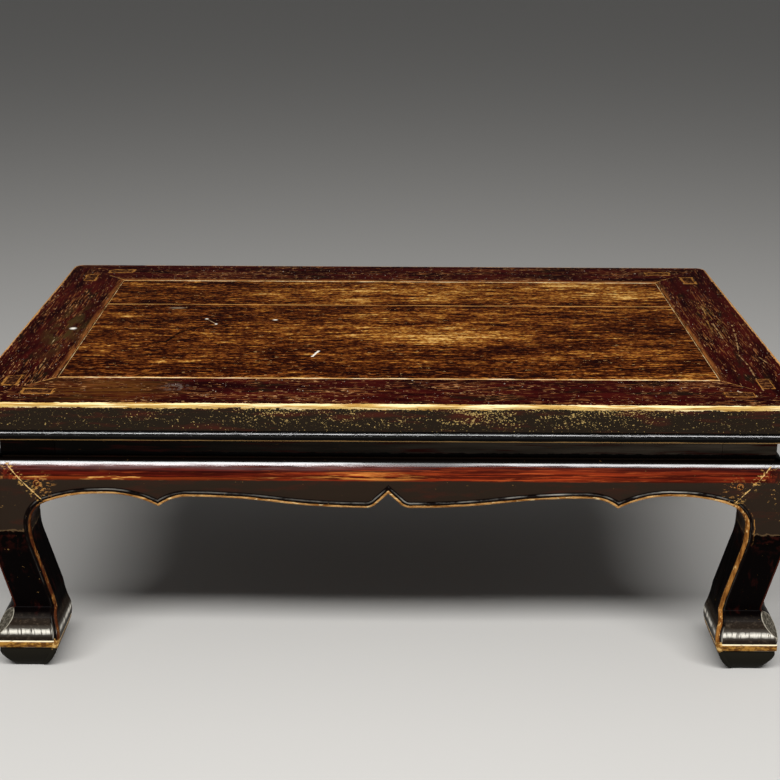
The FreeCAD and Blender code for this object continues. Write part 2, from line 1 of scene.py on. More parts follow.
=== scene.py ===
"""Looks of a worn, lacquered kang table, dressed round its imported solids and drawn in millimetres."""
import json
from math import cos, hypot, pi, radians, sin, sqrt
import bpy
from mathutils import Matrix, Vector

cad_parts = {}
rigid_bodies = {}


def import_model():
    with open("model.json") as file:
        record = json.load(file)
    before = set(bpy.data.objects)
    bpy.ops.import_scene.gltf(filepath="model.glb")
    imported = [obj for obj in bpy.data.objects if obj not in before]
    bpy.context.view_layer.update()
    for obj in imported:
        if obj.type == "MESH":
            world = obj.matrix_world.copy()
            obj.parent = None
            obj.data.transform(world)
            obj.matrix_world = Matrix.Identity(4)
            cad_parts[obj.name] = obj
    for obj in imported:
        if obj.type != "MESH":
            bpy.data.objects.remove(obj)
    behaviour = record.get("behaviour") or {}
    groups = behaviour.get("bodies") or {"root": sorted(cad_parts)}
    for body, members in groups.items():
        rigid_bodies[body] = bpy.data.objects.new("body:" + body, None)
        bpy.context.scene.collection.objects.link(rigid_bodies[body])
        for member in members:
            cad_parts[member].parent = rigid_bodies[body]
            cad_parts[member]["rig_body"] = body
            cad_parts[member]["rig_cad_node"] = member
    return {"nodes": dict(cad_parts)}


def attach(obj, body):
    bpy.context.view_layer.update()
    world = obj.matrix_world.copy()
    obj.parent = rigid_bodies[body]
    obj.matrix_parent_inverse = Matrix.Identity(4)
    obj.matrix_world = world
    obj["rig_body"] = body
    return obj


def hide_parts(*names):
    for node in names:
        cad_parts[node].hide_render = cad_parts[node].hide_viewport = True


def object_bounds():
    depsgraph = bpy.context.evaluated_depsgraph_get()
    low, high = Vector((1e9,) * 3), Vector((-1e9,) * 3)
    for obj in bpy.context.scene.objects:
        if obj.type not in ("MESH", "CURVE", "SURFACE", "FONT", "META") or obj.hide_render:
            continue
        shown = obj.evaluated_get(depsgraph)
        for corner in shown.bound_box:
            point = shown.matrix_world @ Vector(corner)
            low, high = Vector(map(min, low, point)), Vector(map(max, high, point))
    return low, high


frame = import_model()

from types import SimpleNamespace

import bpy
from mathutils import Matrix, Vector

CAD_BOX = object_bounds()
MM = 0.001
LENGTH, DEPTH, HEIGHT = ((high - low) / MM for low, high in zip(*CAD_BOX))

# Heights and insets of the frame and waist, as the solids have them
RAIL_WIDTH = 88.0
CORNER_RADIUS = 14.0
SEAM_FROM_FRONT = 404.0
FRAME_BOTTOM = 296.0
BEAD_TOP = 307.5
WAIST_BOTTOM = 268.0
WAIST_INSET = 31.0

# Outer profile that aprons and legs share
BULGE_INSET = 13.0
SHOULDER_RADIUS = 11.0
SHOULDER_TURN = 48.0
BULGE_FOOT_Z = 190.0
LEG_LEAN = 10.5
SHANK_RADIUS = 190.0
ANKLE = (30.5, 74.3)
ANKLE_START_Z = 76.3
HOOF_INSET = 13.0
HOOF_ROUND_Z = 47.5
HOOF_RADIUS = 28.0
HOOF_TURN = 65.0
HOOF_BAND = (
    (13.7, 37.7),
    (12.9, 36.9),
    (12.6, 35.8),
    (12.6, 29.4),
    (13.0, 28.6),
    (14.4, 27.8),
    (14.4, 26.6),
)
SOLE_SWELL = (16.6, 10.5)
LEAF_FOOT_Z = 44.5
SOLE_INSET = 24.0
CUP_CENTRE = 45.0
CUP_ARC = ((45.2, 30.0), (38.2, 14.0), (24.0, 0.0))

# Inner outline of a leg, seen from the front: arcs by their ends and middles
KNEE = (81.7, 215.8)
LEG_ARCS = (
    (KNEE, (67.2, 203.0), (63.4, 184.0)),
    ((63.4, 184.0), (63.9, 170.0), (66.5, 155.0)),
    ((66.5, 155.0), (73.25, 121.5), (80.0, 88.0)),
    ((80.0, 88.0), (81.6, 75.0), (84.0, 62.0)),
    ((84.0, 62.0), (86.6, 44.5), (82.0, 25.5)),
    ((82.0, 25.5), (75.0, 11.0), (66.0, 0.0)),
)
LEG_HEAD = 94.0
LEG_HEAD_Z = 229.0
HEAD_IN_KNEE = ((-12.0, 1.5), (-2.0, 0.8))  # rise from the knee, and how far the head stays inside there
KNEE_RISES = (1.2, 2.5, 4.0, 6.0, 8.0)  # further levels of a leg just over the knee
LEVEL_STEP = 0.3  # levels closer than this are one
FACE_SHARES = (0.3, 0.6, 0.85, 1.0)  # steps over a leg's face from the raised line to the arris
INNER_EASE = 1.5
LINE_THICK = 5.0
INNER_GAP = 10.0  # what a leg's inner faces keep as their gap from the line, just behind it
DEEP_GAP = 40.0  # and further in
MITRE_TOP = (37.5, 263.5)
MITRE_SHORTENING = 0.73  # of a level distance from the mitre, measured square to it
ARRIS_ROUND = 1.6
SMOOTH_ANGLE = 32.0  # edges sharper than this stay crisp

# Scalloped edge of an apron
CENTRE_NOTCH_Z = 228.5
LOBE_Z = 211.0
RISE_Z = 223.7
DROP_Z = 211.5
ARCH_Z = 226.8
RISE_SHARE = 0.58
DROP_SHARE = 0.669
ARCH_SHARE = 0.842
NOTCH_SIDE = (11.0, 218.2)
NOTCH_BEND = (17.5, 213.0)
NOTCH_FOOT = 29.0
RISE_CURVE = (2.0, 3.2)
DROP_CURVE = (0.36, 10.4)
ARCH_CURVE = (3.0, 3.1)
APRON_FACE_Z = 243.0  # from here up an apron's rings follow the profile's own points
APRON_BACK = 43.0
APRON_LAP = 31.0
CORNER_REACH = 9.0  # how far from a sharp corner the raised line starts to turn with it

# Raised line: distance from the edge and height over the face, from its rounded underside to its hollow
LINE_SHAPE = (
    (0.0, -1.5),
    (0.4, -0.2),
    (1.0, 0.6),
    (2.0, 1.1),
    (3.0, 1.2),
    (4.2, 1.05),
    (5.2, 0.6),
    (5.9, -0.1),
    (6.5, -0.35),
    (7.2, -0.25),
    (8.4, 0.0),
)
LINE_END = LINE_SHAPE[-1][0]
FAR = 60.0  # a gap that wear pays no heed to
GAP_NAMES = ("line_gap", "mitre_gap", "arris_gap", "end_gap")
GRAIN_SHIFT = 3000.0  # between one piece's pattern and the next one's

PEG_CENTRE = (73.8, 239.5)
PEG_RADIUS = 4.0
PEG_DEPTH = 16.6
PEG_PROUD = 0.3
PEG_ROUND = 0.5
TENON_FROM = 60.0
TENON_THICK = 16.0
TENON_RIM = 3.0
TENON_LAP = 4.0  # how far a tenon's drawn body reaches down into the leg's head

# Heights at which the lacquer on aprons and legs changes
# Below GLOW_FOOT the shoulder turns down and its look changes: the red above is partly lacquer, partly
# painted light
GLOW_FOOT = 243.6  # where the shoulder's glow gives way to the dark face below it
SHINE_FOOT = 258.8  # the polished crest of the shoulder starts
SHINE_TOP = 263.6
# The shoulder above SHADE_Z is painted near-black: painted shade and reflection under the frame
SHADE_Z = 262.0  # from here up the shoulder is dark
POST_FOOT = 266.0  # from here up a leg is the post between two waist boards
# The leg's black part below SHANK_TOP is painted shade where the leg turns under
SHANK_TOP = 180.0  # the ragged border over a leg's black part
HOOF_TOP = 70.0
SCUFF_Z = 49.4  # the middle of the hoof's painted highlight, drawn as light scuffs
BAND_TOP = 37.2  # the gold band round the hoof
BAND_FOOT = 28.6

# Single marks on the top, each at its own place: centre and reach, or a route, in x and y
BROWN_PATCH = ((-322.0, -262.0), (84.0, 46.0))
SMOKY_PATCH = ((-246.0, -254.0), (17.0, 13.0))
FRONT_SCRATCH = ((398.0, -260.0), (416.0, -276.0))
LACQUERED_TENONS = ((430.0, -270.0), (110.0, 110.0))
FADED_END = ((-418.0, -30.0), (26.0, 120.0))
RUBBED_END = ((424.0, 40.0), (17.0, 80.0))
SMOKY_END = ((452.0, 150.0), (15.0, 16.0))
TAN_END = ((-424.0, -76.0), (6.0, 14.0))
END_CHIP = ((-409.0, -25.0), (4.6, 5.0))
END_SCRATCHES = (
    ((427.0, 100.0), (427.0, 35.0), (426.0, -11.0), (425.0, -66.0)),
    ((450.0, 7.0), (443.0, -49.0), (434.0, -102.0)),
    ((430.0, -123.0), (432.0, -167.0), (430.0, -205.0), (428.0, -256.0)),
    ((453.0, -132.0), (457.0, -152.0), (463.0, -166.0)),
    ((-416.0, -149.0), (-415.4, -183.0)),
)
PANEL_CRACK = ((-300.0, -86.0), (-281.0, -78.0), (-269.0, -38.0), (-249.0, -16.0), (-213.0, -6.0))
PANEL_NICK = ((-94.0, -136.0), (-87.0, -114.0))
PANEL_HAIRLINE = ((-242.0, 24.0), (-227.0, 0.4))
PANEL_CHIPS = (((-151.0, 21.0), (3.4, 2.6)), ((-242.0, 24.0), (2.4, 2.6)), ((-227.0, 0.4), (2.0, 2.8)))
PANEL_PALE_SPOT = ((-288.0, 76.0), (12.0, 4.0))

# Lighter and darker stretches of the panel: centre, reach and how much is added to the wood's tone
PANEL_STRETCHES = (
    ((60.0, -38.0), (130.0, 42.0), 0.26),
    ((200.0, 165.0), (300.0, 70.0), 0.20),
    ((-50.0, 121.0), (44.0, 12.0), 0.26),
    ((-150.0, 190.0), (200.0, 40.0), 0.12),
    ((-300.0, 85.0), (110.0, 34.0), -0.18),
    ((-330.0, -150.0), (110.0, 60.0), -0.10),
    ((370.0, -60.0), (80.0, 90.0), -0.14),
    ((-50.0, -190.0), (420.0, 30.0), -0.10),
    ((-130.0, -140.0), (30.0, 34.0), -0.26),
    ((-235.0, 200.0), (60.0, 16.0), -0.40),
)
PANEL_TONES = (
    (0.10, "#120000"),
    (0.32, "#2e0b00"),
    (0.48, "#56280a"),
    (0.61, "#7c4516"),
    (0.78, "#b0782f"),
    (0.95, "#dfb468"),
)

# Marks on the front, and where it glows, is dull or is chipped: centre and reach in x and height
EMBER = ((130.0, 249.0), (300.0, 12.0))
HOT_SPOT = ((-22.0, 249.5), (66.0, 5.0))
WARM_RIM = ((-300.0, 248.4), (200.0, 4.6))
DULL_SHINE = ((35.0, 262.0), (90.0, 60.0))
LEFT_CHIPS = ((-458.0, 207.0), (22.0, 18.0))
RIGHT_CHIPS = ((454.0, 225.0), (26.0, 34.0))
RUBBED_KNEE = ((425.0, 195.0), (60.0, 26.0))
CRACKLE_CENTRE = (50.0, -310.0, 330.0)  # this spot's centre and reach are in x, y and height
CRACKLE_REACH = (290.0, 50.0, 60.0)
PEG_WEAR = (80.0, 0.0, 236.0)  # the middle of the chips near a peg: from the apron's end, and its height

FRONT_FACE = 10.0 - DEPTH / 2  # y of the bulging face, about
SPOT_DEPTH = 60.0  # how far a spot reaches through the face that it lies on
BOARD_SHIFT = 1700.0  # between the patterns of the panel's two boards
BARE_CHIP = "#f4ecdc"
COAT_IOR = 1.65
COAT_ROUGHNESS = 0.14

# Camera, as the photograph's: place in metres, angles in degrees
CAMERA_PLACE = (0.0013, -1.822, 0.884)
CAMERA_PITCH = 19.15
CAMERA_ROLL = 0.308
CAMERA_LENS = 66.92
SENSOR = 36.0

# Lamps: name, rise in degrees, distance, width and height in metres, and power; they aim at this height
LAMPS = (
    ("long softbox in front", 54.0, 2.5, 4.0, 0.55, 120.0),
    ("overhead", 88.0, 2.6, 3.0, 2.0, 4.0),
)
LAMPS_AIM = 0.26

SIDE_TURNS = {"front": 0.0, "right": 90.0, "back": 180.0, "left": -90.0}
LONG_SIDES = ("front", "back")
CORNERS = {"front_left": (1, 1), "front_right": (-1, 1), "back_left": (1, -1), "back_right": (-1, -1)}


def arc_points(start, middle, end, steps):
    """Points along the arc through three points, both ends included."""
    (ax, az), (bx, bz), (cx, cz) = start, middle, end
    turn = 2 * (ax * (bz - cz) + bx * (cz - az) + cx * (az - bz))
    if abs(turn) < 1.0:  # the three lie on a line
        return [(ax + (cx - ax) * t / steps, az + (cz - az) * t / steps) for t in range(steps + 1)]
    a2, b2, c2 = ax * ax + az * az, bx * bx + bz * bz, cx * cx + cz * cz
    centre = Vector((
        (a2 * (bz - cz) + b2 * (cz - az) + c2 * (az - bz)) / turn,
        (a2 * (cx - bx) + b2 * (ax - cx) + c2 * (bx - ax)) / turn,
    ))
    first, last = Vector(start) - centre, Vector(end) - centre
    angle = -first.angle_signed(last)
    through = -first.angle_signed(Vector(middle) - centre)
    if angle * through < 0:
        angle -= 2 * pi if angle > 0 else -2 * pi
    return [tuple(centre + Matrix.Rotation(angle * t / steps, 2) @ first) for t in range(steps + 1)]


def round_points(centre, radius, first, last, steps):
    """Points of an outward-facing round between two rises of its face, in degrees."""
    rises = [radians(first + (last - first) * t / steps) for t in range(steps + 1)]
    return [(centre[0] - radius * cos(rise), centre[1] + radius * sin(rise)) for rise in rises]


def outer_profile():
    """Inset and height down the face that aprons and legs share, from the waist to the floor."""
    turned = 90.0 - SHOULDER_TURN
    shoulder = round_points((WAIST_INSET, WAIST_BOTTOM - SHOULDER_RADIUS), SHOULDER_RADIUS, 90.0, turned, 12)
    join = shoulder[-1]
    radius = (join[0] - BULGE_INSET) / (1 - cos(radians(turned)))
    bulge_centre = (BULGE_INSET + radius, join[1] - radius * sin(radians(turned)))
    bulge = round_points(bulge_centre, radius, turned, 0.0, 14)
    shank = round_points((BULGE_INSET + SHANK_RADIUS, BULGE_FOOT_Z), SHANK_RADIUS, 0.0, -LEG_LEAN, 8)
    lean = sin(radians(LEG_LEAN)) / cos(radians(LEG_LEAN))
    ankle_start = (shank[-1][0] + (shank[-1][1] - ANKLE_START_Z) * lean, ANKLE_START_Z)
    hoof = round_points((HOOF_INSET + HOOF_RADIUS, HOOF_ROUND_Z), HOOF_RADIUS, HOOF_TURN, 0.0, 14)
    hoof += [(HOOF_INSET, LEAF_FOOT_Z), (HOOF_INSET, 41.0), (HOOF_INSET + 0.1, 38.8)]
    return (
        shoulder
        + bulge[1:]
        + shank
        + arc_points(ankle_start, ANKLE, hoof[0], 6)
        + hoof[1:]
        + list(HOOF_BAND)
        + arc_points(HOOF_BAND[-1], SOLE_SWELL, (SOLE_INSET, 0.0), 10)[1:]
    )


def crossing(points, height):
    """The first coordinate where a run of points passes a height."""
    for (a, za), (b, zb) in zip(points, points[1:]):
        low, high = sorted((za, zb))
        if low <= height <= high and high > low:
            return a + (b - a) * (height - za) / (zb - za)
    return min(points, key=lambda point: abs(point[1] - height))[0]


def line_height(gap):
    """How far the raised line stands over the face at a distance from the edge."""
    for (a, ha), (b, hb) in zip(LINE_SHAPE, LINE_SHAPE[1:]):
        if a <= gap <= b:
            return ha + (hb - ha) * (gap - a) / (b - a)
    return 0.0


def mitre_distance(x, height):
    """How far a point of a face lies from the line of the mitre, or below it from the knee."""
    if height < KNEE[1]:
        return hypot(x - KNEE[0], height - KNEE[1])
    return abs(x - mitre_inset(height)) * MITRE_SHORTENING


def mitre_inset(height):
    """Inset of the mitre between apron and leg at a height."""
    slope = (KNEE[0] - MITRE_TOP[0]) / (MITRE_TOP[1] - KNEE[1])
    return MITRE_TOP[0] + (MITRE_TOP[1] - height) * slope


PROFILE = outer_profile()
LEG_OUTLINE = [KNEE] + [point for arc in LEG_ARCS for point in arc_points(*arc, 9)[1:]]


def side_size(side):
    """A side's length and the table's size across it."""
    return (LENGTH, DEPTH) if side in LONG_SIDES else (DEPTH, LENGTH)


def side_turn(side):
    """The turn that brings a piece drawn at the front to its own side."""
    return Matrix.Rotation(radians(SIDE_TURNS[side]), 4, "Z")


def only_this(piece):
    """Selects one piece and nothing else."""
    bpy.ops.object.select_all(action="DESELECT")
    piece.select_set(True)
    bpy.context.view_layer.objects.active = piece


def on_all(operator, **settings):
    """Runs one of edit mode's operators on the whole mesh."""
    bpy.ops.mesh.select_all(action="SELECT")
    operator(**settings)


def record(piece, name, values):
    """Keeps a number or a place for each point of a piece, under a name that its finish reads."""
    kind, field = ("FLOAT_VECTOR", "vector") if isinstance(values[0], tuple) else ("FLOAT", "value")
    layer = piece.data.attributes.new(name, kind, "POINT")
    for item, value in zip(layer.data, values):
        setattr(item, field, value)


def record_gaps(piece, gaps):
    """Keeps each point's distances from the raised line's edge, mitre, arris and corner, in mm."""
    for name, values in zip(GAP_NAMES, zip(*gaps)):
        record(piece, name, values)


def record_grain(piece, order, shift):
    """Keeps each point's place in mm with the way of the grain first, shifted so that no piece repeats."""
    places = ([vertex.co[axis] / MM for axis in order] for vertex in piece.data.vertices)
    record(piece, "grain", [(along + shift * GRAIN_SHIFT, across, deep) for along, across, deep in places])


def ringed_piece(name, rings):
    """A closed piece through rings of points, each a place and its gaps.

    A grid is added and laid through the rings, its seam is merged and its two ends are filled.
    """
    around, along = len(rings[0]), len(rings)
    bpy.ops.object.select_all(action="DESELECT")
    bpy.ops.mesh.primitive_grid_add(x_subdivisions=around, y_subdivisions=along - 1, size=1)
    piece = bpy.context.object
    piece.name = piece.data.name = name
    gaps = []
    for vertex in piece.data.vertices:
        column = round((vertex.co.x + 0.5) * around) % around
        row = round((vertex.co.y + 0.5) * (along - 1))
        place, own_gaps = rings[row][column]
        vertex.co = Vector(place) * MM
        gaps.append(own_gaps)
    record_gaps(piece, gaps)
    bpy.ops.object.mode_set(mode="EDIT")
    on_all(bpy.ops.mesh.remove_doubles, threshold=0.02 * MM)
    on_all(bpy.ops.mesh.fill_holes, sides=0)
    on_all(bpy.ops.mesh.normals_make_consistent, inside=False)
    bpy.ops.object.mode_set(mode="OBJECT")
    return piece


def smoothed(piece):
    """Shades a piece smooth, except at its sharp edges."""
    only_this(piece)
    bpy.ops.object.shade_smooth_by_angle(angle=radians(SMOOTH_ANGLE))
    return piece


def corner_cut(height):
    """How far the outer corner of a leg is cut back at a height, and how far the cut bulges."""
    inset = crossing(PROFILE, height)
    cut, bulge = ARRIS_ROUND, ARRIS_ROUND * (1 - sqrt(0.5))
    if LEAF_FOOT_Z < height < ANKLE[1]:
        share = (height - LEAF_FOOT_Z) / (ANKLE[1] - LEAF_FOOT_Z)
        leaf = 2 * (HOOF_INSET + share * (ANKLE[0] - HOOF_INSET) - inset)
        if leaf > cut:
            cut, bulge = leaf, 0.0
    if height < CUP_ARC[0][1]:
        radius = crossing(arc_points(*CUP_ARC, 12), height)
        reach = CUP_CENTRE - inset
        cup = CUP_CENTRE - sqrt(max(radius * radius - reach * reach, 0.0)) - inset
        if cup > cut:
            cut = cup
            bulge = radius - (CUP_CENTRE - inset - cup / 2) * sqrt(2)
    return cut, bulge


def offset_outline(outline, gap):
    """A leg's outline moved sideways by a gap, into the wood."""
    moved = []
    last = len(outline) - 1
    for index, point in enumerate(outline):
        before, after = outline[max(index - 1, 0)], outline[min(index + 1, last)]
        along_x, along_z = after[0] - before[0], after[1] - before[1]
        size = hypot(along_x, along_z)
        moved.append((point[0] + gap * along_z / size, point[1] - gap * along_x / size))
    return moved


def leg_ring(height, offsets):
    """One level ring of a leg in corner coordinates, from the inner corner round and back."""
    inset = crossing(PROFILE, height)
    above_knee = height > KNEE[1]
    edge = mitre_inset(height) if above_knee else crossing(LEG_OUTLINE, height)
    half = []
    for gap, _ in LINE_SHAPE:
        x = min(crossing(offsets[gap], height), edge) if height <= offsets[gap][0][1] else edge
        true_gap = gap
        if above_knee and x >= edge:
            true_gap = hypot(KNEE[0] - x, height - KNEE[1])
        half.append((x, inset - line_height(true_gap), true_gap))
    cut, bulge = corner_cut(height)
    face_start = half[-1][0]
    face_end = inset + cut
    for share in FACE_SHARES:
        x = face_start + (face_end - face_start) * share
        half.append((x, inset, LINE_END + face_start - x))
    corner = []
    for step in range(1, 6):
        share = step / 6
        push = bulge * 4 * share * (1 - share) / sqrt(2)
        corner.append((inset + cut * (1 - share) - push, inset + cut * share - push))
    eased, behind_line = edge - INNER_EASE, inset + LINE_THICK
    ring = [((edge, eased, height), DEEP_GAP), ((edge, behind_line, height), INNER_GAP)]
    ring += [((x, y, height), gap) for x, y, gap in half]
    ring += [((x, y, height), FAR) for x, y in corner]
    ring += [((y, x, height), gap) for x, y, gap in reversed(half)]
    ring += [((behind_line, edge, height), INNER_GAP), ((eased, edge, height), DEEP_GAP)]
    finished = []
    for place, line_gap in ring:
        from_corner = max(place[0], place[1])
        arris_gap = -cut / 3 if line_gap == FAR else from_corner - inset - cut
        finished.append((place, (line_gap, mitre_distance(from_corner, height), arris_gap, from_corner)))
    return finished


def in_corner(piece, corner):
    """Moves a piece from corner coordinates to one corner of the table."""
    way_x, way_y = CORNERS[corner]
    for vertex in piece.data.vertices:
        x, y, z = vertex.co
        vertex.co = (way_x * (x - LENGTH * MM / 2), way_y * (y - DEPTH * MM / 2), z)
    only_this(piece)
    bpy.ops.object.mode_set(mode="EDIT")
    on_all(bpy.ops.mesh.normals_make_consistent, inside=False)
    bpy.ops.object.mode_set(mode="OBJECT")


def boxed(name, lows, highs, ease):
    """A cube brought to two corners in millimetres, its edges eased."""
    bpy.ops.object.select_all(action="DESELECT")
    bpy.ops.mesh.primitive_cube_add(size=1)
    piece = bpy.context.object
    piece.name = piece.data.name = name
    middle = (Vector(lows) + Vector(highs)) / 2 * MM
    size = (Vector(highs) - Vector(lows)) * MM
    piece.data.transform(Matrix.Translation(middle) @ Matrix.Diagonal((*size, 1.0)))
    bpy.ops.object.mode_set(mode="EDIT")
    on_all(bpy.ops.mesh.bevel, offset=ease * MM, segments=2, affect="EDGES")
    bpy.ops.object.mode_set(mode="OBJECT")
    return piece


def tenon(low, high):
    """A through tenon of a leg, with a rim round the end that shows on the top."""
    piece = boxed("tenon", (*low, FRAME_BOTTOM - TENON_LAP), (*high, HEIGHT), 0.3)
    bpy.ops.object.mode_set(mode="EDIT")
    bpy.ops.mesh.select_mode(type="FACE")
    bpy.ops.mesh.select_all(action="DESELECT")
    bpy.ops.object.mode_set(mode="OBJECT")
    end = max(piece.data.polygons, key=lambda face: face.center.z + face.area)
    end.select = True
    bpy.ops.object.mode_set(mode="EDIT")
    bpy.ops.mesh.inset(thickness=TENON_RIM * MM)
    bpy.ops.object.mode_set(mode="OBJECT")
    inner = {index for face in piece.data.polygons if face.select for index in face.vertices}
    from_rim = [TENON_RIM if vertex.index in inner else 0.0 for vertex in piece.data.vertices]
    record_gaps(piece, [(gap, FAR, FAR, FAR) for gap in from_rim])
    return piece


def joined(name, pieces):
    """One object of several pieces, under a new name."""
    bpy.ops.object.select_all(action="DESELECT")
    for piece in pieces:
        piece.select_set(True)
    bpy.context.view_layer.objects.active = pieces[0]
    bpy.ops.object.join()
    pieces[0].name = pieces[0].data.name = name
    return pieces[0]


def leg_head():
    """The post behind the aprons' ends, from inside the knee up to the frame."""
    levels = []
    for rise, inside in HEAD_IN_KNEE:
        levels.append((KNEE[1] + rise, crossing(LEG_OUTLINE, KNEE[1] + rise) - inside))
    levels += [(KNEE[1] + 1.5, KNEE[0] + 1.0), (LEG_HEAD_Z, LEG_HEAD), (FRAME_BOTTOM, LEG_HEAD)]
    low, ease = WAIST_INSET, 0.8
    rings = []
    for height, edge in levels:
        eased = edge - ease
        outline = [(low + ease, low), (eased, low), (edge, low + ease), (edge, eased)]
        outline += [(eased, edge), (low + ease, edge), (low, eased), (low, low + ease)]
        rings.append([((x, y, height), (FAR, FAR, FAR, FAR)) for x, y in outline])
    return ringed_piece("head", rings)


def leg(corner):
    """A leg with its head and the two tenons that show on the top."""
    offsets = {gap: offset_outline(LEG_OUTLINE, gap) for gap, _ in LINE_SHAPE}
    heights = {round(z, 2) for _, z in PROFILE + LEG_OUTLINE if z < WAIST_BOTTOM}
    heights |= {KNEE[1] + rise for rise in KNEE_RISES} | {WAIST_BOTTOM - 0.1}
    levels = []
    for height in sorted(heights):
        if not levels or height - levels[-1] > LEVEL_STEP:
            levels.append(height)
    shank = ringed_piece("shank", [leg_ring(height, offsets) for height in levels])
    low, high = (WAIST_INSET, TENON_FROM), (WAIST_INSET + TENON_THICK, LEG_HEAD)
    tenons = [tenon(low[::-1], high[::-1]), tenon(low, high)]
    piece = joined(f"leg_{corner}_dressed", [shank, leg_head(), *tenons])
    in_corner(piece, corner)
    record_grain(piece, (2, 0, 1), list(CORNERS).index(corner))
    return smoothed(piece)


def scallop(edge_length):
    """Points of an apron's lower edge from knee to knee, and which of them are sharp corners."""
    half = edge_length / 2
    reach = half - KNEE[0]
    rise, drop, arch = reach * RISE_SHARE, reach * DROP_SHARE, reach * ARCH_SHARE
    wave = ((NOTCH_FOOT + rise) / 2, (LOBE_Z + RISE_Z) / 2)
    eighth = (RISE_Z - LOBE_Z) / 8
    foot, top, tip, crown = (NOTCH_FOOT, LOBE_Z), (rise, RISE_Z), (drop, DROP_Z), (arch, ARCH_Z)
    arcs = (
        ((0.0, CENTRE_NOTCH_Z), (NOTCH_SIDE[0] / 2, (CENTRE_NOTCH_Z + NOTCH_SIDE[1]) / 2), NOTCH_SIDE),
        (NOTCH_SIDE, NOTCH_BEND, foot),
        (foot, ((NOTCH_FOOT + wave[0]) / 2, LOBE_Z + eighth), wave),
        (wave, ((wave[0] + rise) / 2, RISE_Z - eighth), top),
        (top, ((rise + drop) / 2 + RISE_CURVE[0], RISE_Z - RISE_CURVE[1]), tip),
        (tip, (drop + (arch - drop) * DROP_CURVE[0], DROP_Z + DROP_CURVE[1]), crown),
        (crown, ((arch + reach) / 2 + ARCH_CURVE[0], ARCH_Z - ARCH_CURVE[1]), (reach, KNEE[1])),
    )
    right = [arcs[0][0]]
    for arc in arcs:
        right += arc_points(*arc, 8)[1:]
    points = [(half - x, z) for x, z in reversed(right)] + [(half + x, z) for x, z in right[1:]]
    corners = [half, half - drop, half + drop]
    return points, corners


def towards_wood(points, corners):
    """For each point of a scalloped edge, the way in which a gap of one from the edge lies."""
    last = len(points) - 1

    def square_to(a, b):
        """The way into the wood, square to one stretch of the edge."""
        size = hypot(b[0] - a[0], b[1] - a[1])
        return Vector((-(b[1] - a[1]) / size, (b[0] - a[0]) / size))

    ways = []
    for index, point in enumerate(points):
        before = square_to(points[index - 1], point) if index else None
        after = square_to(point, points[index + 1]) if index < last else None
        if before is None or after is None:
            normal = after or before
            along = Vector((MITRE_TOP[0] - KNEE[0], MITRE_TOP[1] - KNEE[1])).normalized()
            if before is not None:
                along.x = -along.x
            ways.append(along / along.dot(normal))
        else:
            middle = (before + after).normalized()
            ways.append(middle / middle.dot(before))
    eased = []
    for point, way in zip(points, ways):
        corner = min(corners, key=lambda x: abs(x - point[0]))
        index = min(range(len(points)), key=lambda i: abs(points[i][0] - corner))
        gap = hypot(point[0] - points[index][0], point[1] - points[index][1])
        eased.append(ways[index].lerp(way, min(gap / CORNER_REACH, 1.0)))
    return eased


def apron(side):
    """An apron on one side: bulging face, rounded raised line, flat back."""
    edge_length, across = side_size(side)
    points, corners = scallop(edge_length)
    ways = towards_wood(points, corners)
    top_inset = mitre_inset(WAIST_BOTTOM)
    stretch = (edge_length - 2 * top_inset) / (edge_length - 2 * KNEE[0])
    heights = [z for _, z in PROFILE if z > APRON_FACE_Z]
    rings = []
    for point, way in zip(points, ways):
        ring = []
        for gap, proud in LINE_SHAPE:
            x, z = point[0] + way[0] * gap, point[1] + way[1] * gap
            ring.append(((x, crossing(PROFILE, z) - proud, z), gap))
        foot_x, _, foot_z = ring[-1][0]
        top_x = top_inset + (point[0] - KNEE[0]) * stretch
        face = [foot_z + (heights[-1] - foot_z) * share for share in (0.3, 0.65)] + heights[::-1]
        for z in face:
            x = foot_x + (top_x - foot_x) * (z - foot_z) / (WAIST_BOTTOM - foot_z)
            ring.append(((x, crossing(PROFILE, z), z), LINE_END + z - foot_z))
        behind = APRON_BACK if LEG_HEAD <= point[0] <= edge_length - LEG_HEAD else APRON_LAP
        ring += [((point[0], behind, WAIST_BOTTOM), FAR), ((point[0], behind, point[1]), FAR / 2)]
        finished = []
        for place, gap in ring:
            from_end = min(place[0], edge_length - place[0])
            finished.append((place, (gap, mitre_distance(from_end, place[2]), FAR, from_end)))
        rings.append(finished)
    piece = ringed_piece(f"apron_{side}_dressed", rings)
    record_grain(piece, (0, 1, 2), 4 + list(SIDE_TURNS).index(side))
    to_middle = Matrix.Translation((-edge_length * MM / 2, -across * MM / 2, 0.0))
    piece.data.transform(side_turn(side) @ to_middle)
    return smoothed(piece)


def rail(node, side):
    """A frame rail: a merged and smoothed copy of its node's mesh, for a finish that follows its edges."""
    piece = frame["nodes"][node].copy()
    piece.data = piece.data.copy()
    piece.parent = None
    piece.name = piece.data.name = f"{node}_dressed"
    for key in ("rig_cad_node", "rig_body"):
        del piece[key]
    bpy.context.scene.collection.objects.link(piece)
    only_this(piece)
    bpy.ops.object.mode_set(mode="EDIT")
    on_all(bpy.ops.mesh.remove_doubles, threshold=0.005 * MM)
    on_all(bpy.ops.mesh.customdata_custom_splitnormals_clear)
    bpy.ops.object.mode_set(mode="OBJECT")
    edge_length, across = side_size(side)
    back = side_turn(side).inverted()
    edges = []
    for vertex in piece.data.vertices:
        x, y, z = back @ vertex.co / MM
        inset, from_end = y + across / 2, edge_length / 2 - abs(x)
        if max(inset, from_end) < CORNER_RADIUS:
            inset = CORNER_RADIUS - hypot(CORNER_RADIUS - inset, CORNER_RADIUS - from_end)
        edges.append((x, inset, z))
    record(piece, "edge", edges)
    record_grain(piece, (0, 1, 2) if side in LONG_SIDES else (1, 0, 2), 8 + list(SIDE_TURNS).index(side))
    return smoothed(piece)


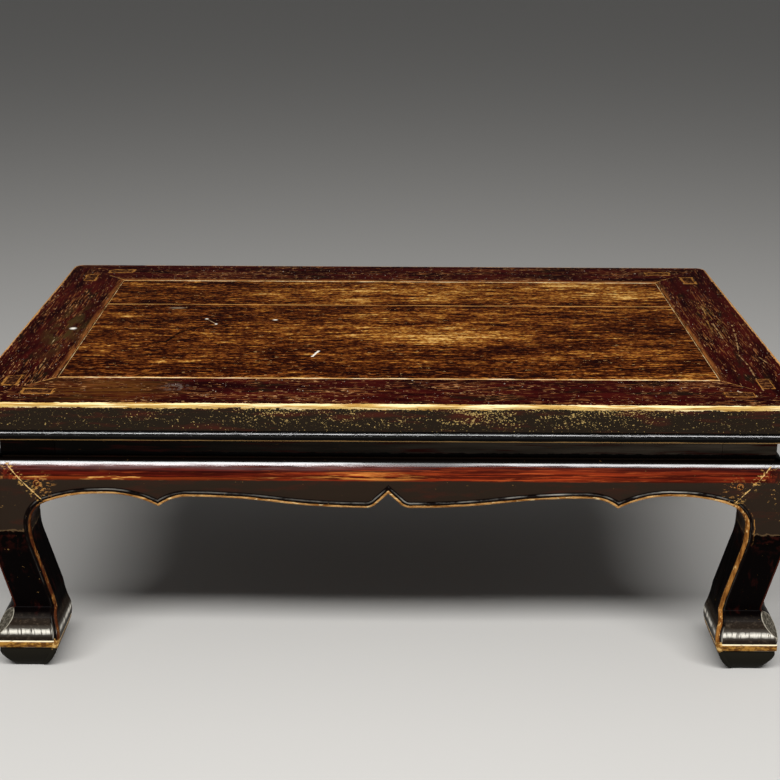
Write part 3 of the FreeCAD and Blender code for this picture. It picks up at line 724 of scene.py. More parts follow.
def pegs():
    """The heads of the eight pegs, a shade proud of the aprons, each turned from a cylinder."""
    heads = []
    for side in SIDE_TURNS:
        edge_length, across = side_size(side)
        middle = crossing(PROFILE, PEG_CENTRE[1]) + PEG_DEPTH / 2 - PEG_PROUD
        for x in (PEG_CENTRE[0], edge_length - PEG_CENTRE[0]):
            place = Vector((x - edge_length / 2, middle - across / 2, PEG_CENTRE[1])) * MM
            bpy.ops.object.select_all(action="DESELECT")
            bpy.ops.mesh.primitive_cylinder_add(
                vertices=32, radius=PEG_RADIUS * MM, depth=PEG_DEPTH * MM, end_fill_type="TRIFAN"
            )
            head = bpy.context.object
            head.data.transform(Matrix.Rotation(pi / 2, 4, "X"))
            bpy.ops.object.mode_set(mode="EDIT")
            bpy.ops.mesh.select_mode(type="EDGE")
            bpy.ops.mesh.select_all(action="DESELECT")
            bpy.ops.mesh.edges_select_sharp(sharpness=radians(60.0))
            bpy.ops.mesh.bevel(offset=PEG_ROUND * MM, segments=3, affect="EDGES")
            bpy.ops.object.mode_set(mode="OBJECT")
            head.data.transform(side_turn(side) @ Matrix.Translation(place))
            heads.append(head)
    piece = joined("apron_pegs_dressed", heads)
    gaps = []
    for vertex in piece.data.vertices:
        x, y, z = vertex.co / MM
        sideways = min(abs(LENGTH / 2 - abs(x) - PEG_CENTRE[0]), abs(DEPTH / 2 - abs(y) - PEG_CENTRE[0]))
        gaps.append((PEG_RADIUS - hypot(sideways, z - PEG_CENTRE[1]), FAR, FAR, FAR))
    record_gaps(piece, gaps)
    return smoothed(piece)


def colour(code):
    """A colour of the render from its sRGB hex code."""
    parts = [int(code[i:i + 2], 16) / 255 for i in (1, 3, 5)]
    return (*[c / 12.92 if c <= 0.04045 else ((c + 0.055) / 1.055) ** 2.4 for c in parts], 1.0)


def add_node(beside, kind, inputs=None, **settings):
    """Adds a node with its settings, and its inputs as numbers, hex colours or what feeds them.

    Beside is the tree of the finish, or anything in it.
    """
    tree = beside.id_data
    made = tree.nodes.new(f"ShaderNode{kind}")
    for name, value in settings.items():
        setattr(made, name, value)
    for socket, value in (inputs or {}).items():
        if isinstance(value, bpy.types.Node):
            value = value.outputs[0]
        if isinstance(value, bpy.types.NodeSocket):
            tree.links.new(value, made.inputs[socket])
        else:
            made.inputs[socket].default_value = colour(value) if isinstance(value, str) else value
    return made


def new_finish(name, level):
    """An empty finish with a specular level, and places on the piece in mm."""
    material = bpy.data.materials.new(name)
    material.use_nodes = True
    tree = material.node_tree
    shader = tree.nodes["Principled BSDF"]
    shader.inputs["Specular IOR Level"].default_value = level
    shader.inputs["Coat IOR"].default_value = COAT_IOR
    shader.inputs["Coat Roughness"].default_value = COAT_ROUGHNESS
    here = add_node(tree, "TexCoord").outputs["Object"]
    place = add_node(tree, "VectorMath", {0: here, "Scale": 1 / MM}, operation="SCALE").outputs["Vector"]
    return material, place


def kept(place, name, output="Fac"):
    """What a piece keeps at each point under a name."""
    return add_node(place, "Attribute", attribute_name=name).outputs[output]


def patches(place, size, low, high, denser=None, more=0.0, detail=4.0):
    """Where irregular patches of a size in mm lie: from 0 at low to 1 at high.

    The size is one number, a length and a width, or a length, a width and a height. Denser is a mask where
    more patches lie, by what more adds there.
    """
    sizes = size if isinstance(size, tuple) else (size,)
    sizes = (*sizes, sizes[-1], sizes[-1])[:3]
    spread = add_node(place, "VectorMath", {0: place, 1: sizes}, operation="DIVIDE")
    noise = add_node(place, "TexNoise", {"Vector": spread, "Scale": 1.0, "Detail": detail, "Roughness": 0.6})
    if denser is not None:
        noise = add_node(place, "Math", {0: denser, 1: more, 2: noise}, operation="MULTIPLY_ADD")
    return ramped(noise, low, high)


def ramped(value, low, high):
    """Rises from 0 to 1 while a value goes from low to high, or falls where low is the larger."""
    return add_node(value, "MapRange", {"Value": value, "From Min": low, "From Max": high})


def both(*masks):
    """Where all masks hold."""
    product = masks[0]
    for mask in masks[1:]:
        product = add_node(product, "Math", {0: product, 1: mask}, operation="MULTIPLY")
    return product


def between(value, start, full, fading, end):
    """Rises from 0 at start to 1 at full, and falls from 1 at fading to 0 at end."""
    return both(ramped(value, start, full), ramped(value, end, fading))


def off(value, from_value):
    """How far a value lies from another, without its sign."""
    apart = add_node(value, "Math", {0: value, 1: from_value}, operation="SUBTRACT")
    return add_node(value, "Math", {0: apart}, operation="ABSOLUTE")


def line_at(value, middle, edge, full):
    """1 within full of a middle value, down to 0 at edge from it."""
    return ramped(off(value, middle), edge, full)


def from_ends(value, length):
    """How far a place lies inside the nearer end of a length whose middle is at 0."""
    return add_node(value, "Math", {0: length / 2, 1: off(value, 0.0)}, operation="SUBTRACT")


def ragged(value, place, size, reach):
    """A distance whose line wavers by up to reach on either side."""
    waver = patches(place, size, 0.25, 0.75)
    shifted = add_node(value, "Math", {0: waver, 1: 2 * reach, 2: value}, operation="MULTIPLY_ADD")
    return add_node(value, "Math", {0: shifted, 1: reach}, operation="SUBTRACT")


def near(place, centre, reach):
    """1 round a place, down to 0 past its reach in mm."""
    away = add_node(place, "VectorMath", {0: place, 1: centre}, operation="SUBTRACT")
    away = add_node(place, "VectorMath", {0: away, 1: reach}, operation="DIVIDE")
    away = add_node(place, "VectorMath", {0: away}, operation="LENGTH").outputs["Value"]
    return ramped(away, 1.2, 0.4)


def top_spot(place, centre, reach):
    """1 round a spot on the top, down to 0 past its reach in x and y."""
    return near(place, (*centre, HEIGHT), (*reach, SPOT_DEPTH))


def front_spot(place, centre, reach):
    """1 round a spot on the front, down to 0 past its reach in x and height."""
    return near(place, (centre[0], FRONT_FACE, centre[1]), (reach[0], SPOT_DEPTH, reach[1]))


def scratch(place, *points, width):
    """1 along a thin scratch on the top through two or more places."""
    gap = None
    for start, end in zip(points, points[1:]):
        run = Vector((*end, 0.0)) - Vector((*start, 0.0))
        along = add_node(place, "VectorMath", {0: place, 1: (*start, HEIGHT)}, operation="SUBTRACT")
        ways = {0: along, 1: run / run.length_squared}
        share = add_node(place, "VectorMath", ways, operation="DOT_PRODUCT").outputs["Value"]
        share = add_node(place, "Clamp", {0: share})
        nearest = add_node(place, "VectorMath", {0: run, "Scale": share}, operation="SCALE")
        reach = add_node(place, "VectorMath", {0: along, 1: nearest}, operation="DISTANCE").outputs["Value"]
        gap = reach if gap is None else add_node(place, "Math", {0: gap, 1: reach}, operation="MINIMUM")
    return ramped(ragged(gap, place, 4.0, width / 2), width, width / 2)


def laid_over(ground, *layers):
    """Colours over a ground, each with the mask where it shows."""
    for code, mask in layers:
        ground = add_node(mask, "MixRGB", {"Color1": ground, "Color2": code, "Fac": mask})
    return ground


def heaped(*parts, base=0.0):
    """A base and the sum of masks, each times what it adds."""
    height = base
    for mask, rise in parts:
        height = add_node(mask, "Math", {0: mask, 1: rise, 2: height}, operation="MULTIPLY_ADD")
    return height


def finish_with(material, paint, roughness, relief, gloss=None):
    """Joins colour, roughness, relief in mm and the lacquer's gloss to the shader."""
    tree = material.node_tree
    shader = tree.nodes["Principled BSDF"]
    bump = add_node(tree, "Bump", {"Height": relief, "Distance": MM, "Strength": 1.0})
    parts = {"Base Color": paint, "Roughness": roughness, "Normal": bump, "Coat Normal": bump}
    if gloss is not None:
        parts["Coat Weight"] = gloss
    for socket, made in parts.items():
        tree.links.new(made.outputs[0], shader.inputs[socket])


def rail_top(place, grain, inset, from_end, side):
    """A rail's top: deep red, with tan scratches, flecks and specks, and bare wood at its joints.

    Hair scratches and specks are too fine to show, so they are drawn as coarse as they need to show. The
    scratches and flecks are given back as well, because they are rougher than the lacquer.
    """
    is_end = side == "end"
    run, thin = (30.0, 1.9) if is_end else (17.0, 3.2)
    zones = patches(grain, (150.0, 34.0), 0.44, 0.62, detail=3.0)
    deep = patches(grain, (90.0, 16.0), 0.40, 0.64)
    smudge = patches(grain, (70.0, 22.0), 0.56, 0.66, detail=5.0)
    tan = patches(grain, (run, thin), 0.61 if is_end else 0.59, 0.67, zones, 0.09, 6.0)
    flecks = patches(grain, (run / 2, thin), 0.64, 0.68, zones, 0.05, 6.0)
    specks = patches(place, (3.4, 4.4, 4.0), 0.70, 0.73, zones, 0.01)
    top = laid_over("#180001", ("#3a0a06", deep), ("#1a0e06", smudge), ("#734322", tan))
    top = laid_over(top, ("#b08254", flecks), ("#e6d8c4", specks))
    if side == "front":
        fibres = patches(grain, (40.0, 4.0), 0.40, 0.58, detail=6.0)
        brown = both(top_spot(place, *BROWN_PATCH), fibres)
        smoky = both(top_spot(place, *SMOKY_PATCH), patches(place, (4.0, 9.0), 0.46, 0.56))
        single = scratch(place, *FRONT_SCRATCH, width=1.2)
        top = laid_over(top, ("#54300e", brown), ("#5a4c46", smoky), ("#c9b08c", single))
    if is_end:
        faded = both(top_spot(place, *FADED_END), patches(grain, (40.0, 12.0), 0.42, 0.58))
        fibres = patches(grain, (22.0, 2.2), 0.54, 0.60, detail=6.0)
        rubbed = both(top_spot(place, *RUBBED_END), fibres)
        smoky = both(top_spot(place, *SMOKY_END), smudge)
        tanned = both(top_spot(place, *TAN_END), tan)
        top = laid_over(top, ("#3c2a12", faded), ("#87602f", rubbed), ("#5a4c46", smoky))
        top = laid_over(top, ("#f4ede0", top_spot(place, *END_CHIP)), ("#cdb58c", tanned))
        broken = patches(place, 9.0, 0.44, 0.56)
        for route in END_SCRATCHES:
            single = both(scratch(place, *route, width=1.1), broken)
            top = laid_over(top, ("#96744c", single))

    strip_from = RAIL_WIDTH - (1.0 if side == "front" else 7.0)
    strip = ramped(ragged(inset, grain, (40.0, 6.0), 3.0), strip_from, RAIL_WIDTH)
    strip = both(strip, patches(grain, (44.0, 4.0), 0.36, 0.54))
    from_mitre = add_node(place, "Math", {0: from_end, 1: inset}, operation="SUBTRACT")
    mitre_line = ramped(ragged(from_mitre, grain, (12.0, 9.0), 1.4), 1.5, 0.6)
    mitre_line = both(mitre_line, patches(grain, 12.0, 0.36, 0.46))
    half_length, half_thick = (LEG_HEAD - TENON_FROM) / 2, TENON_THICK / 2
    tenon_along = off(from_end, TENON_FROM + half_length)
    tenon_across = off(inset, WAIST_INSET + half_thick)
    tenon_across = add_node(place, "Math", {0: tenon_across, 1: half_length - half_thick}, operation="ADD")
    from_tenon = add_node(place, "Math", {0: tenon_along, 1: tenon_across}, operation="MAXIMUM")
    from_tenon = ragged(from_tenon, grain, (9.0, 6.0), 1.8)
    lacquered = heaped((top_spot(place, *LACQUERED_TENONS), -0.85), base=1.0)
    tenon_rim = ramped(from_tenon, half_length + 2.6, half_length + 1.4)
    tenon_rim = both(tenon_rim, patches(place, 12.0, 0.44, 0.54), lacquered)
    top = laid_over(top, ("#8c5426", strip), ("#a06f34", tenon_rim), ("#b98648", mitre_line))
    return top, tan, flecks


def rail_face(place, grain, height, under_top, side):
    """A rail's dark face with rusty patches and crackled gold flecks, and its black bead with a worn foot.

    The crackle, too fine to show, is drawn as coarse as it needs to show. It is given back as well, with the
    gloss of the bead's round.
    """
    crowded = patches(grain, (60.0, 14.0), 0.40, 0.60, detail=2.0)
    if side == "front":
        centre = near(place, CRACKLE_CENTRE, CRACKLE_REACH)
        crowded = both(crowded, heaped((centre, 0.85), base=0.2))
    upper = ramped(height, BEAD_TOP - 2.0, BEAD_TOP + 24.0)
    crackle = patches(place, (2.4, 2.4, 1.7), 0.65, 0.69, both(crowded, upper), 0.16, 5.0)
    rusty = patches(grain, (60.0, 12.0, 9.0), 0.54, 0.70, ramped(under_top, 24.0, 5.0), 0.08)
    face = laid_over("#221b14", ("#3c1c14", rusty), ("#ab9058", crackle))
    foot = ragged(height, grain, (60.0, 9.0), 0.8)
    foot = ramped(foot, FRAME_BOTTOM + 2.2, FRAME_BOTTOM + 1.4)
    bead = laid_over("#0a0908", ("#a3804f", foot))
    face = laid_over(face, (bead, ramped(height, BEAD_TOP + 1.6, BEAD_TOP + 0.8)))
    gloss = between(height, BEAD_TOP - 5.6, BEAD_TOP - 4.0, BEAD_TOP - 0.8, BEAD_TOP + 0.8)
    gloss = add_node(place, "Clamp", {0: heaped((gloss, 0.8), (foot, -0.8))})
    return face, crackle, gloss


def bare_arris(grain, inset, under_top, side):
    """Golden wood along a rail's outer arris, with a ragged border and, on the front, a painted highlight
    along its top: its colour, and where it shows.
    """
    reach, slope = (6.0, 2.6) if side == "front" else (5.0, 1.1)
    stretched = add_node(inset, "Math", {0: inset, 1: slope}, operation="MULTIPLY")
    from_arris = add_node(inset, "Math", {0: stretched, 1: under_top}, operation="MAXIMUM")
    from_arris = ragged(from_arris, grain, (60.0, 9.0), 1.6)
    from_arris = ragged(from_arris, grain, (5.0, 2.4), 1.3)
    worn_arris = ramped(from_arris, reach, reach - 0.5)
    tone = patches(grain, (30.0, 1.4), 0.34, 0.66, detail=5.0)
    if side != "front":
        return laid_over("#9a6430", ("#d6a468", tone)), worn_arris
    # Near-white just under the top of the front arris: a painted highlight over the pale bare wood
    bright = patches(grain, (50.0, 4.0, 1.6), 0.52, 0.62, ramped(under_top, 3.0, 1.0), 0.08)
    return laid_over("#94682a", ("#cfae66", tone), ("#eedaa4", bright)), worn_arris


def rail_lacquer(name, side):
    """Old red lacquer on a frame rail, rubbed through in streaks along the grain.

    The eye gets: a deep red top with tan scratches and specks, bare golden wood along the outer arris with a
    ragged border, worn edges round mitres and tenons, a dark face with crackled gold flecks, and a black
    bead with a worn foot.
    """
    material, place = new_finish(name, 0.014)
    grain = kept(place, "grain", "Vector")
    along, inset, height = add_node(place, "SeparateXYZ", {0: kept(place, "edge", "Vector")}).outputs
    from_end = from_ends(along, DEPTH if side == "end" else LENGTH)
    under_top = add_node(place, "Math", {0: HEIGHT, 1: height}, operation="SUBTRACT")
    top, tan, flecks = rail_top(place, grain, inset, from_end, side)
    face, crackle, gloss = rail_face(place, grain, height, under_top, side)
    bare, worn_arris = bare_arris(grain, inset, under_top, side)
    under = ramped(height, FRAME_BOTTOM + 0.3, FRAME_BOTTOM + 0.1)
    under = both(under, ramped(inset, 4.6, 5.2))
    inner = both(ramped(inset, 60.0, 61.0), ramped(under_top, 2.0, 3.0))
    bare_wood = laid_over("#3c2818", ("#241610", patches(grain, (60.0, 3.0), 0.4, 0.65)))
    paint = laid_over(face, (top, ramped(under_top, 0.8, 0.2)), (bare, worn_arris))
    paint = laid_over(paint, (bare_wood, under), (bare_wood, inner))
    worn = heaped((tan, 0.4), (flecks, 0.5), (worn_arris, 0.5), (crackle, 0.5), (under, 1.0))
    ripple = patches(grain, (70.0, 12.0, 8.0), 0.2, 0.8, detail=2.0)
    fibres = patches(grain, (30.0, 1.8), 0.3, 0.7)
    roughness = heaped((worn, 0.15), (fibres, 0.06), base=0.42)
    relief = heaped((worn, -0.12), (ripple, 0.08), (fibres, 0.03))
    finish_with(material, paint, roughness, relief, gloss)
    return material


def panel_tone(place, grain, y, streaks):
    """The panel's colour without its marks, from dark lacquer to golden wood, by what lies there.

    The wood's pores, too fine to show, are drawn as coarse as they need to show.
    """
    zones = patches(grain, (130.0, 44.0), 0.34, 0.66, detail=3.0)
    long_streaks = patches(grain, (80.0, 9.0), 0.34, 0.66, detail=5.0)
    pores = patches(grain, (5.0, 3.2), 0.36, 0.64, detail=2.0)
    front_joint = RAIL_WIDTH - DEPTH / 2
    front_edge = ragged(y, grain, (60.0, 9.0), 5.0)
    front_edge = ramped(front_edge, front_joint + 8.0, front_joint + 2.0)
    parts = [(zones, 0.30), (long_streaks, 0.26), (streaks, 0.50), (pores, 0.32), (front_edge, 0.40)]
    parts += [(top_spot(place, centre, reach), rise) for centre, reach, rise in PANEL_STRETCHES]
    ramp = add_node(place, "ValToRGB", {"Fac": heaped(*parts, base=-0.29)})
    for _ in PANEL_TONES[2:]:
        ramp.color_ramp.elements.new(0.5)
    for stop, (position, code) in zip(ramp.color_ramp.elements, PANEL_TONES):
        stop.position, stop.color = position, colour(code)
    return ramp


def panel_lacquer():
    """Thin brown lacquer rubbed through to golden wood, streak beside streak along the two boards.

    The eye gets: brown and orange streaks, golden ones on the back board and in the middle, dark red
    remains at the front, at the left and at the right, a crack, and light worn edges along every joint.
    """
    material, place = new_finish("rubbed brown lacquer on panel", 0.016)
    seam = SEAM_FROM_FRONT - DEPTH / 2
    x, y, z = add_node(place, "SeparateXYZ", {0: place}).outputs
    on_back = add_node(place, "Math", {0: y, 1: seam}, operation="GREATER_THAN")
    shift = add_node(place, "Math", {0: on_back, 1: BOARD_SHIFT}, operation="MULTIPLY")
    shift = add_node(place, "CombineXYZ", {0: shift})
    grain = add_node(place, "VectorMath", {0: place, 1: shift}, operation="ADD").outputs["Vector"]

    streaks = patches(grain, (24.0, 4.4), 0.34, 0.66, detail=6.0)
    dark_lines = patches(grain, (20.0, 3.0), 0.58, 0.64, detail=6.0)
    orange = patches(grain, (15.0, 3.2), 0.60, 0.65, detail=6.0)
    flecks = patches(grain, (10.0, 3.0), 0.67, 0.70, detail=5.0)
    crack = both(scratch(place, *PANEL_CRACK, width=3.0), patches(place, 8.0, 0.34, 0.42))
    paint = laid_over(
        panel_tone(place, grain, y, streaks),
        ("#1a0300", both(dark_lines, 0.7)),
        ("#b0642a", both(orange, 0.6)),
        ("#cfa468", flecks),
        ("#120300", crack),
        (BARE_CHIP, scratch(place, *PANEL_NICK, width=1.8)),
        ("#a58a68", scratch(place, *PANEL_HAIRLINE, width=1.2)),
        *((BARE_CHIP, top_spot(place, *chip)) for chip in PANEL_CHIPS),
        ("#a8977c", both(top_spot(place, *PANEL_PALE_SPOT), streaks)),
    )

    # The joints at the boards' ends are worn a third as wide as those along them
    end_gap = from_ends(x, LENGTH - 2 * RAIL_WIDTH)
    end_gap = add_node(place, "Math", {0: end_gap, 1: 3.0}, operation="MULTIPLY")
    long_gap = from_ends(y, DEPTH - 2 * RAIL_WIDTH)
    joint_gap = add_node(place, "Math", {0: end_gap, 1: long_gap}, operation="MINIMUM")
    worn_joint = ramped(ragged(joint_gap, grain, (20.0, 12.0), 1.4), 4.4, 3.0)
    worn_seam = ramped(ragged(off(y, seam), grain, (60.0, 12.0), 1.6), 1.7, 0.9)
    below = ramped(z, HEIGHT - 6.0, HEIGHT - 7.0)
    bare_wood = laid_over("#4a3220", ("#2b1b12", patches(grain, (90.0, 4.0), 0.4, 0.65)))
    pale = laid_over("#c89a5e", ("#eccf9e", patches(place, (30.0, 30.0, 9.0), 0.44, 0.58)))
    paint = laid_over(paint, (pale, worn_joint), ("#c08c4a", worn_seam), (bare_wood, below))
    roughness = heaped((streaks, 0.12), (flecks, 0.1), (below, 0.2), base=0.42)
    relief = heaped((streaks, 0.05), (dark_lines, 0.05), (worn_joint, -0.2), (worn_seam, -0.2))
    finish_with(material, paint, roughness, relief)
    return material


def waist_colours(place, grain):
    """The waist's near-black lacquer, on its boards and on the leg's post between them.

    It has dull red and brown streaks, a painted grey reflection that grows towards the right, and a black
    foot that is painted shade.
    """
    along, _, height = add_node(place, "SeparateXYZ", {0: place}).outputs
    # Lighter grey towards the right: painted reflection
    painted_reflection_right = both(ramped(along, -260.0, 420.0), patches(grain, (120.0, 9.0), 0.2, 0.6))
    red = patches(grain, (80.0, 5.0), 0.54, 0.66, detail=6.0)
    brown = patches(grain, (24.0, 8.0, 3.0), 0.66, 0.70)
    # The black foot of the boards is painted shade where the waist meets the apron
    foot = ragged(height, grain, (14.0, 9.0), 1.2)
    foot = ramped(foot, WAIST_BOTTOM + 4.5, WAIST_BOTTOM + 3.5)
    streaked = laid_over("#0c0805", ("#534a40", painted_reflection_right), ("#2f0e09", red), ("#4a3119", brown))
    return laid_over(streaked, ("#010000", foot))


def waist_lacquer(name, order):
    """Black lacquer in the shade under the frame, hardly worn: near-black with dark red streaks."""
    material, place = new_finish(name, 0.03)
    axes = add_node(place, "SeparateXYZ", {0: place}).outputs
    grain = add_node(place, "CombineXYZ", {index: axes[axis] for index, axis in enumerate(order)}).outputs[0]
    ripple = patches(grain, (60.0, 12.0, 8.0), 0.2, 0.8, detail=2.0)
    roughness = heaped((ripple, 0.1), base=0.38)
    finish_with(material, waist_colours(place, grain), roughness, heaped((ripple, 0.1)))
    return material


def body_measures(place):
    """What the finish of aprons and legs goes by at each point: place, grain and gaps in mm, broken wear."""
    along, across, height = add_node(place, "SeparateXYZ", {0: place}).outputs
    insets = {0: from_ends(along, LENGTH), 1: from_ends(across, DEPTH)}
    return SimpleNamespace(
        place=place,
        along=along,
        height=height,
        inset=add_node(place, "Math", insets, operation="MINIMUM"),
        grain=kept(place, "grain", "Vector"),
        broken=patches(place, 9.0, 0.38, 0.46),
        **{name: kept(place, name) for name in GAP_NAMES},
    )


def shoulder_lacquer(at):
    """The shoulder under the waist: red-brown with bright streaks, a painted purple-grey sheen on the left,
    and painted shade at its top.

    Its streaks, which stand up a little, and the polish along its crest are given back as well.
    """
    height, grain = at.height, at.grain
    streaks = patches(grain, (110.0, 6.0, 2.0), 0.45, 0.62, detail=7.0)
    fine = patches(grain, (44.0, 3.0, 1.3), 0.56, 0.66, detail=7.0)
    ember = front_spot(at.place, *EMBER)
    amber = patches(grain, (46.0, 4.0, 1.7), 0.46, 0.56, detail=5.0)
    amber = both(front_spot(at.place, *HOT_SPOT), amber)
    rim_z = WARM_RIM[0][1]
    rim = ramped(ragged(height, grain, (80.0, 9.0), 1.4), rim_z + 0.2, rim_z - 0.8)
    rim = both(front_spot(at.place, *WARM_RIM), rim)
    # A purple-grey sheen below the crest on the left: painted highlight
    painted_sheen = patches(grain, (60.0, 4.0, 1.8), 0.36, 0.62, detail=6.0)
    painted_sheen = both(ramped(height, 254.0, 260.0), ramped(at.along, 60.0, -60.0), painted_sheen)
    # The top of the shoulder under the waist is painted near-black: painted shade
    painted_shade_top = ramped(ragged(height, grain, (50.0, 6.0), 0.5), SHADE_Z - 0.8, SHADE_Z)
    paint = laid_over(
        "#2a0805",
        ("#45140a", both(ember, 0.8)),
        ("#55150b", streaks),
        ("#8a3114", both(streaks, ember)),
        ("#a84a22", both(fine, heaped((ember, 0.7), base=0.3))),
        ("#1c0606", both(ramped(height, 252.0, 261.0), 0.6)),
        ("#86625e", both(painted_sheen, 0.55)),
        ("#7c3212", both(rim, 0.8)),
        ("#c8803a", amber),
        ("#c8904a", both(rim, patches(grain, (40.0, 6.0, 4.0), 0.56, 0.62))),
        ("#060302", painted_shade_top),
    )

    # The polished crest is narrower on the right
    crest = heaped((ramped(at.along, 60.0, 170.0), -0.8), (height, 1.0))
    crest = ramped(ragged(crest, grain, (30.0, 9.0), 0.5), SHINE_FOOT, SHINE_FOOT + 2.2)
    polish = both(
        heaped((crest, 0.85), (painted_sheen, 0.5)),
        ramped(height, SHINE_TOP, SHINE_TOP - 0.8),
        heaped((front_spot(at.place, *DULL_SHINE), -0.7), base=1.0),
        heaped((patches(grain, (24.0, 3.0, 1.5), 0.30, 0.52, detail=6.0), 0.4), base=0.6),
    )
    return paint, streaks, polish


def leg_face(at, face):
    """A leg's dark face, below a ragged border its black shank, painted shade, and its hoof; also the hoof's
    painted highlight, drawn as light scuffs.
    """
    place, height = at.place, at.height
    border = ragged(ragged(height, place, 16.0, 2.4), place, 4.0, 0.8)
    on_border = both(line_at(border, SHANK_TOP + 0.2, 1.3, 0.5), at.broken, 0.8)
    under_border = ramped(height, SHANK_TOP - 30.0, SHANK_TOP - 2.0)
    under_border = both(under_border, patches(place, 9.0, 0.50, 0.64))
    hints = patches(at.grain, (34.0, 12.0), 0.58, 0.70)
    # The shank drawn black below the border is painted shade
    shank = laid_over("#030101", ("#200705", hints), ("#2a0c07", under_border))
    mottled = patches(place, (5.0, 5.0, 3.0), 0.54, 0.68, detail=5.0)
    hoof = laid_over("#241d17", ("#443a30", mottled))
    in_hoof = between(height, BAND_TOP - 0.7, BAND_TOP + 0.8, HOOF_TOP - 8.0, HOOF_TOP)
    # The soft grey band and the light scuffs round it are a painted highlight on the hoof
    dull = both(line_at(height, SCUFF_Z + 0.6, 8.0, 3.0), 0.4)
    slits = patches(place, (3.0, 3.0, 40.0), 0.40, 0.52)
    painted_highlight_scuffs = ragged(off(height, SCUFF_Z), place, 7.0, 0.8)
    painted_highlight_scuffs = both(ramped(painted_highlight_scuffs, 4.2, 0.8), slits)
    painted_shade_shank = ramped(border, SHANK_TOP, SHANK_TOP - 1.5)
    face = laid_over(face, (shank, painted_shade_shank), ("#5a4730", on_border), (hoof, in_hoof))
    return laid_over(face, ("#6c675f", dull), ("#ece7da", painted_highlight_scuffs)), painted_highlight_scuffs


def worn_raised_line(at, is_leg):
    """The raised line worn to golden wood: its colour, and where it shows.

    On the left legs it is narrower and stained.
    """
    dull, bright, pale = ("#5f3614", "#9b6830", "#d0a76a") if is_leg else ("#80501f", "#c4955a", "#e8cd98")
    gold = laid_over(dull, (bright, patches(at.grain, (22.0, 4.0), 0.38, 0.60)))
    gold = laid_over(gold, (pale, patches(at.grain, (9.0, 3.0), 0.58, 0.66)))
    reach = ragged(at.line_gap, at.grain, (30.0, 9.0), 0.8)
    if not is_leg:
        return gold, ramped(reach, 3.7, 3.1)
    on_left = ramped(at.along, 10.0, -10.0)
    stains = both(on_left, patches(at.grain, (26.0, 5.0), 0.64, 0.50))
    reach = heaped((on_left, 1.7), (reach, 1.0))
    return laid_over(gold, ("#43200f", stains)), ramped(reach, 4.2, 3.7)


def body_chips(at, is_leg):
    """Small chips worn to wood: scattered ones, crowded at two spots on legs, and those by mitre and peg."""
    place = at.place
    scattered = patches(place, (4.0, 4.0, 3.4), 0.71, 0.73, detail=5.0)
    if is_leg:
        crowds = {0: front_spot(place, *LEFT_CHIPS), 1: front_spot(place, *RIGHT_CHIPS)}
        crowded = add_node(place, "Math", crowds, operation="MAXIMUM")
        scattered = patches(place, (4.0, 4.0, 3.4), 0.70, 0.73, crowded, 0.09, 5.0)
    by_mitre = both(
        ramped(at.mitre_gap, 8.0, 1.0),
        ramped(at.height, MITRE_TOP[1], MITRE_TOP[1] - 2.0),
        patches(place, (4.4, 4.4, 2.2), 0.57, 0.61, detail=5.0),
    )
    in_face = add_node(place, "CombineXYZ", {0: at.end_gap, 2: at.height})
    peg_gap = add_node(place, "VectorMath", {0: in_face, 1: PEG_WEAR}, operation="DISTANCE").outputs["Value"]
    by_peg = patches(place, (4.4, 4.4, 2.2), 0.56, 0.60, detail=5.0)
    return scattered, by_mitre, both(ramped(peg_gap, 18.0, 4.0), by_peg)


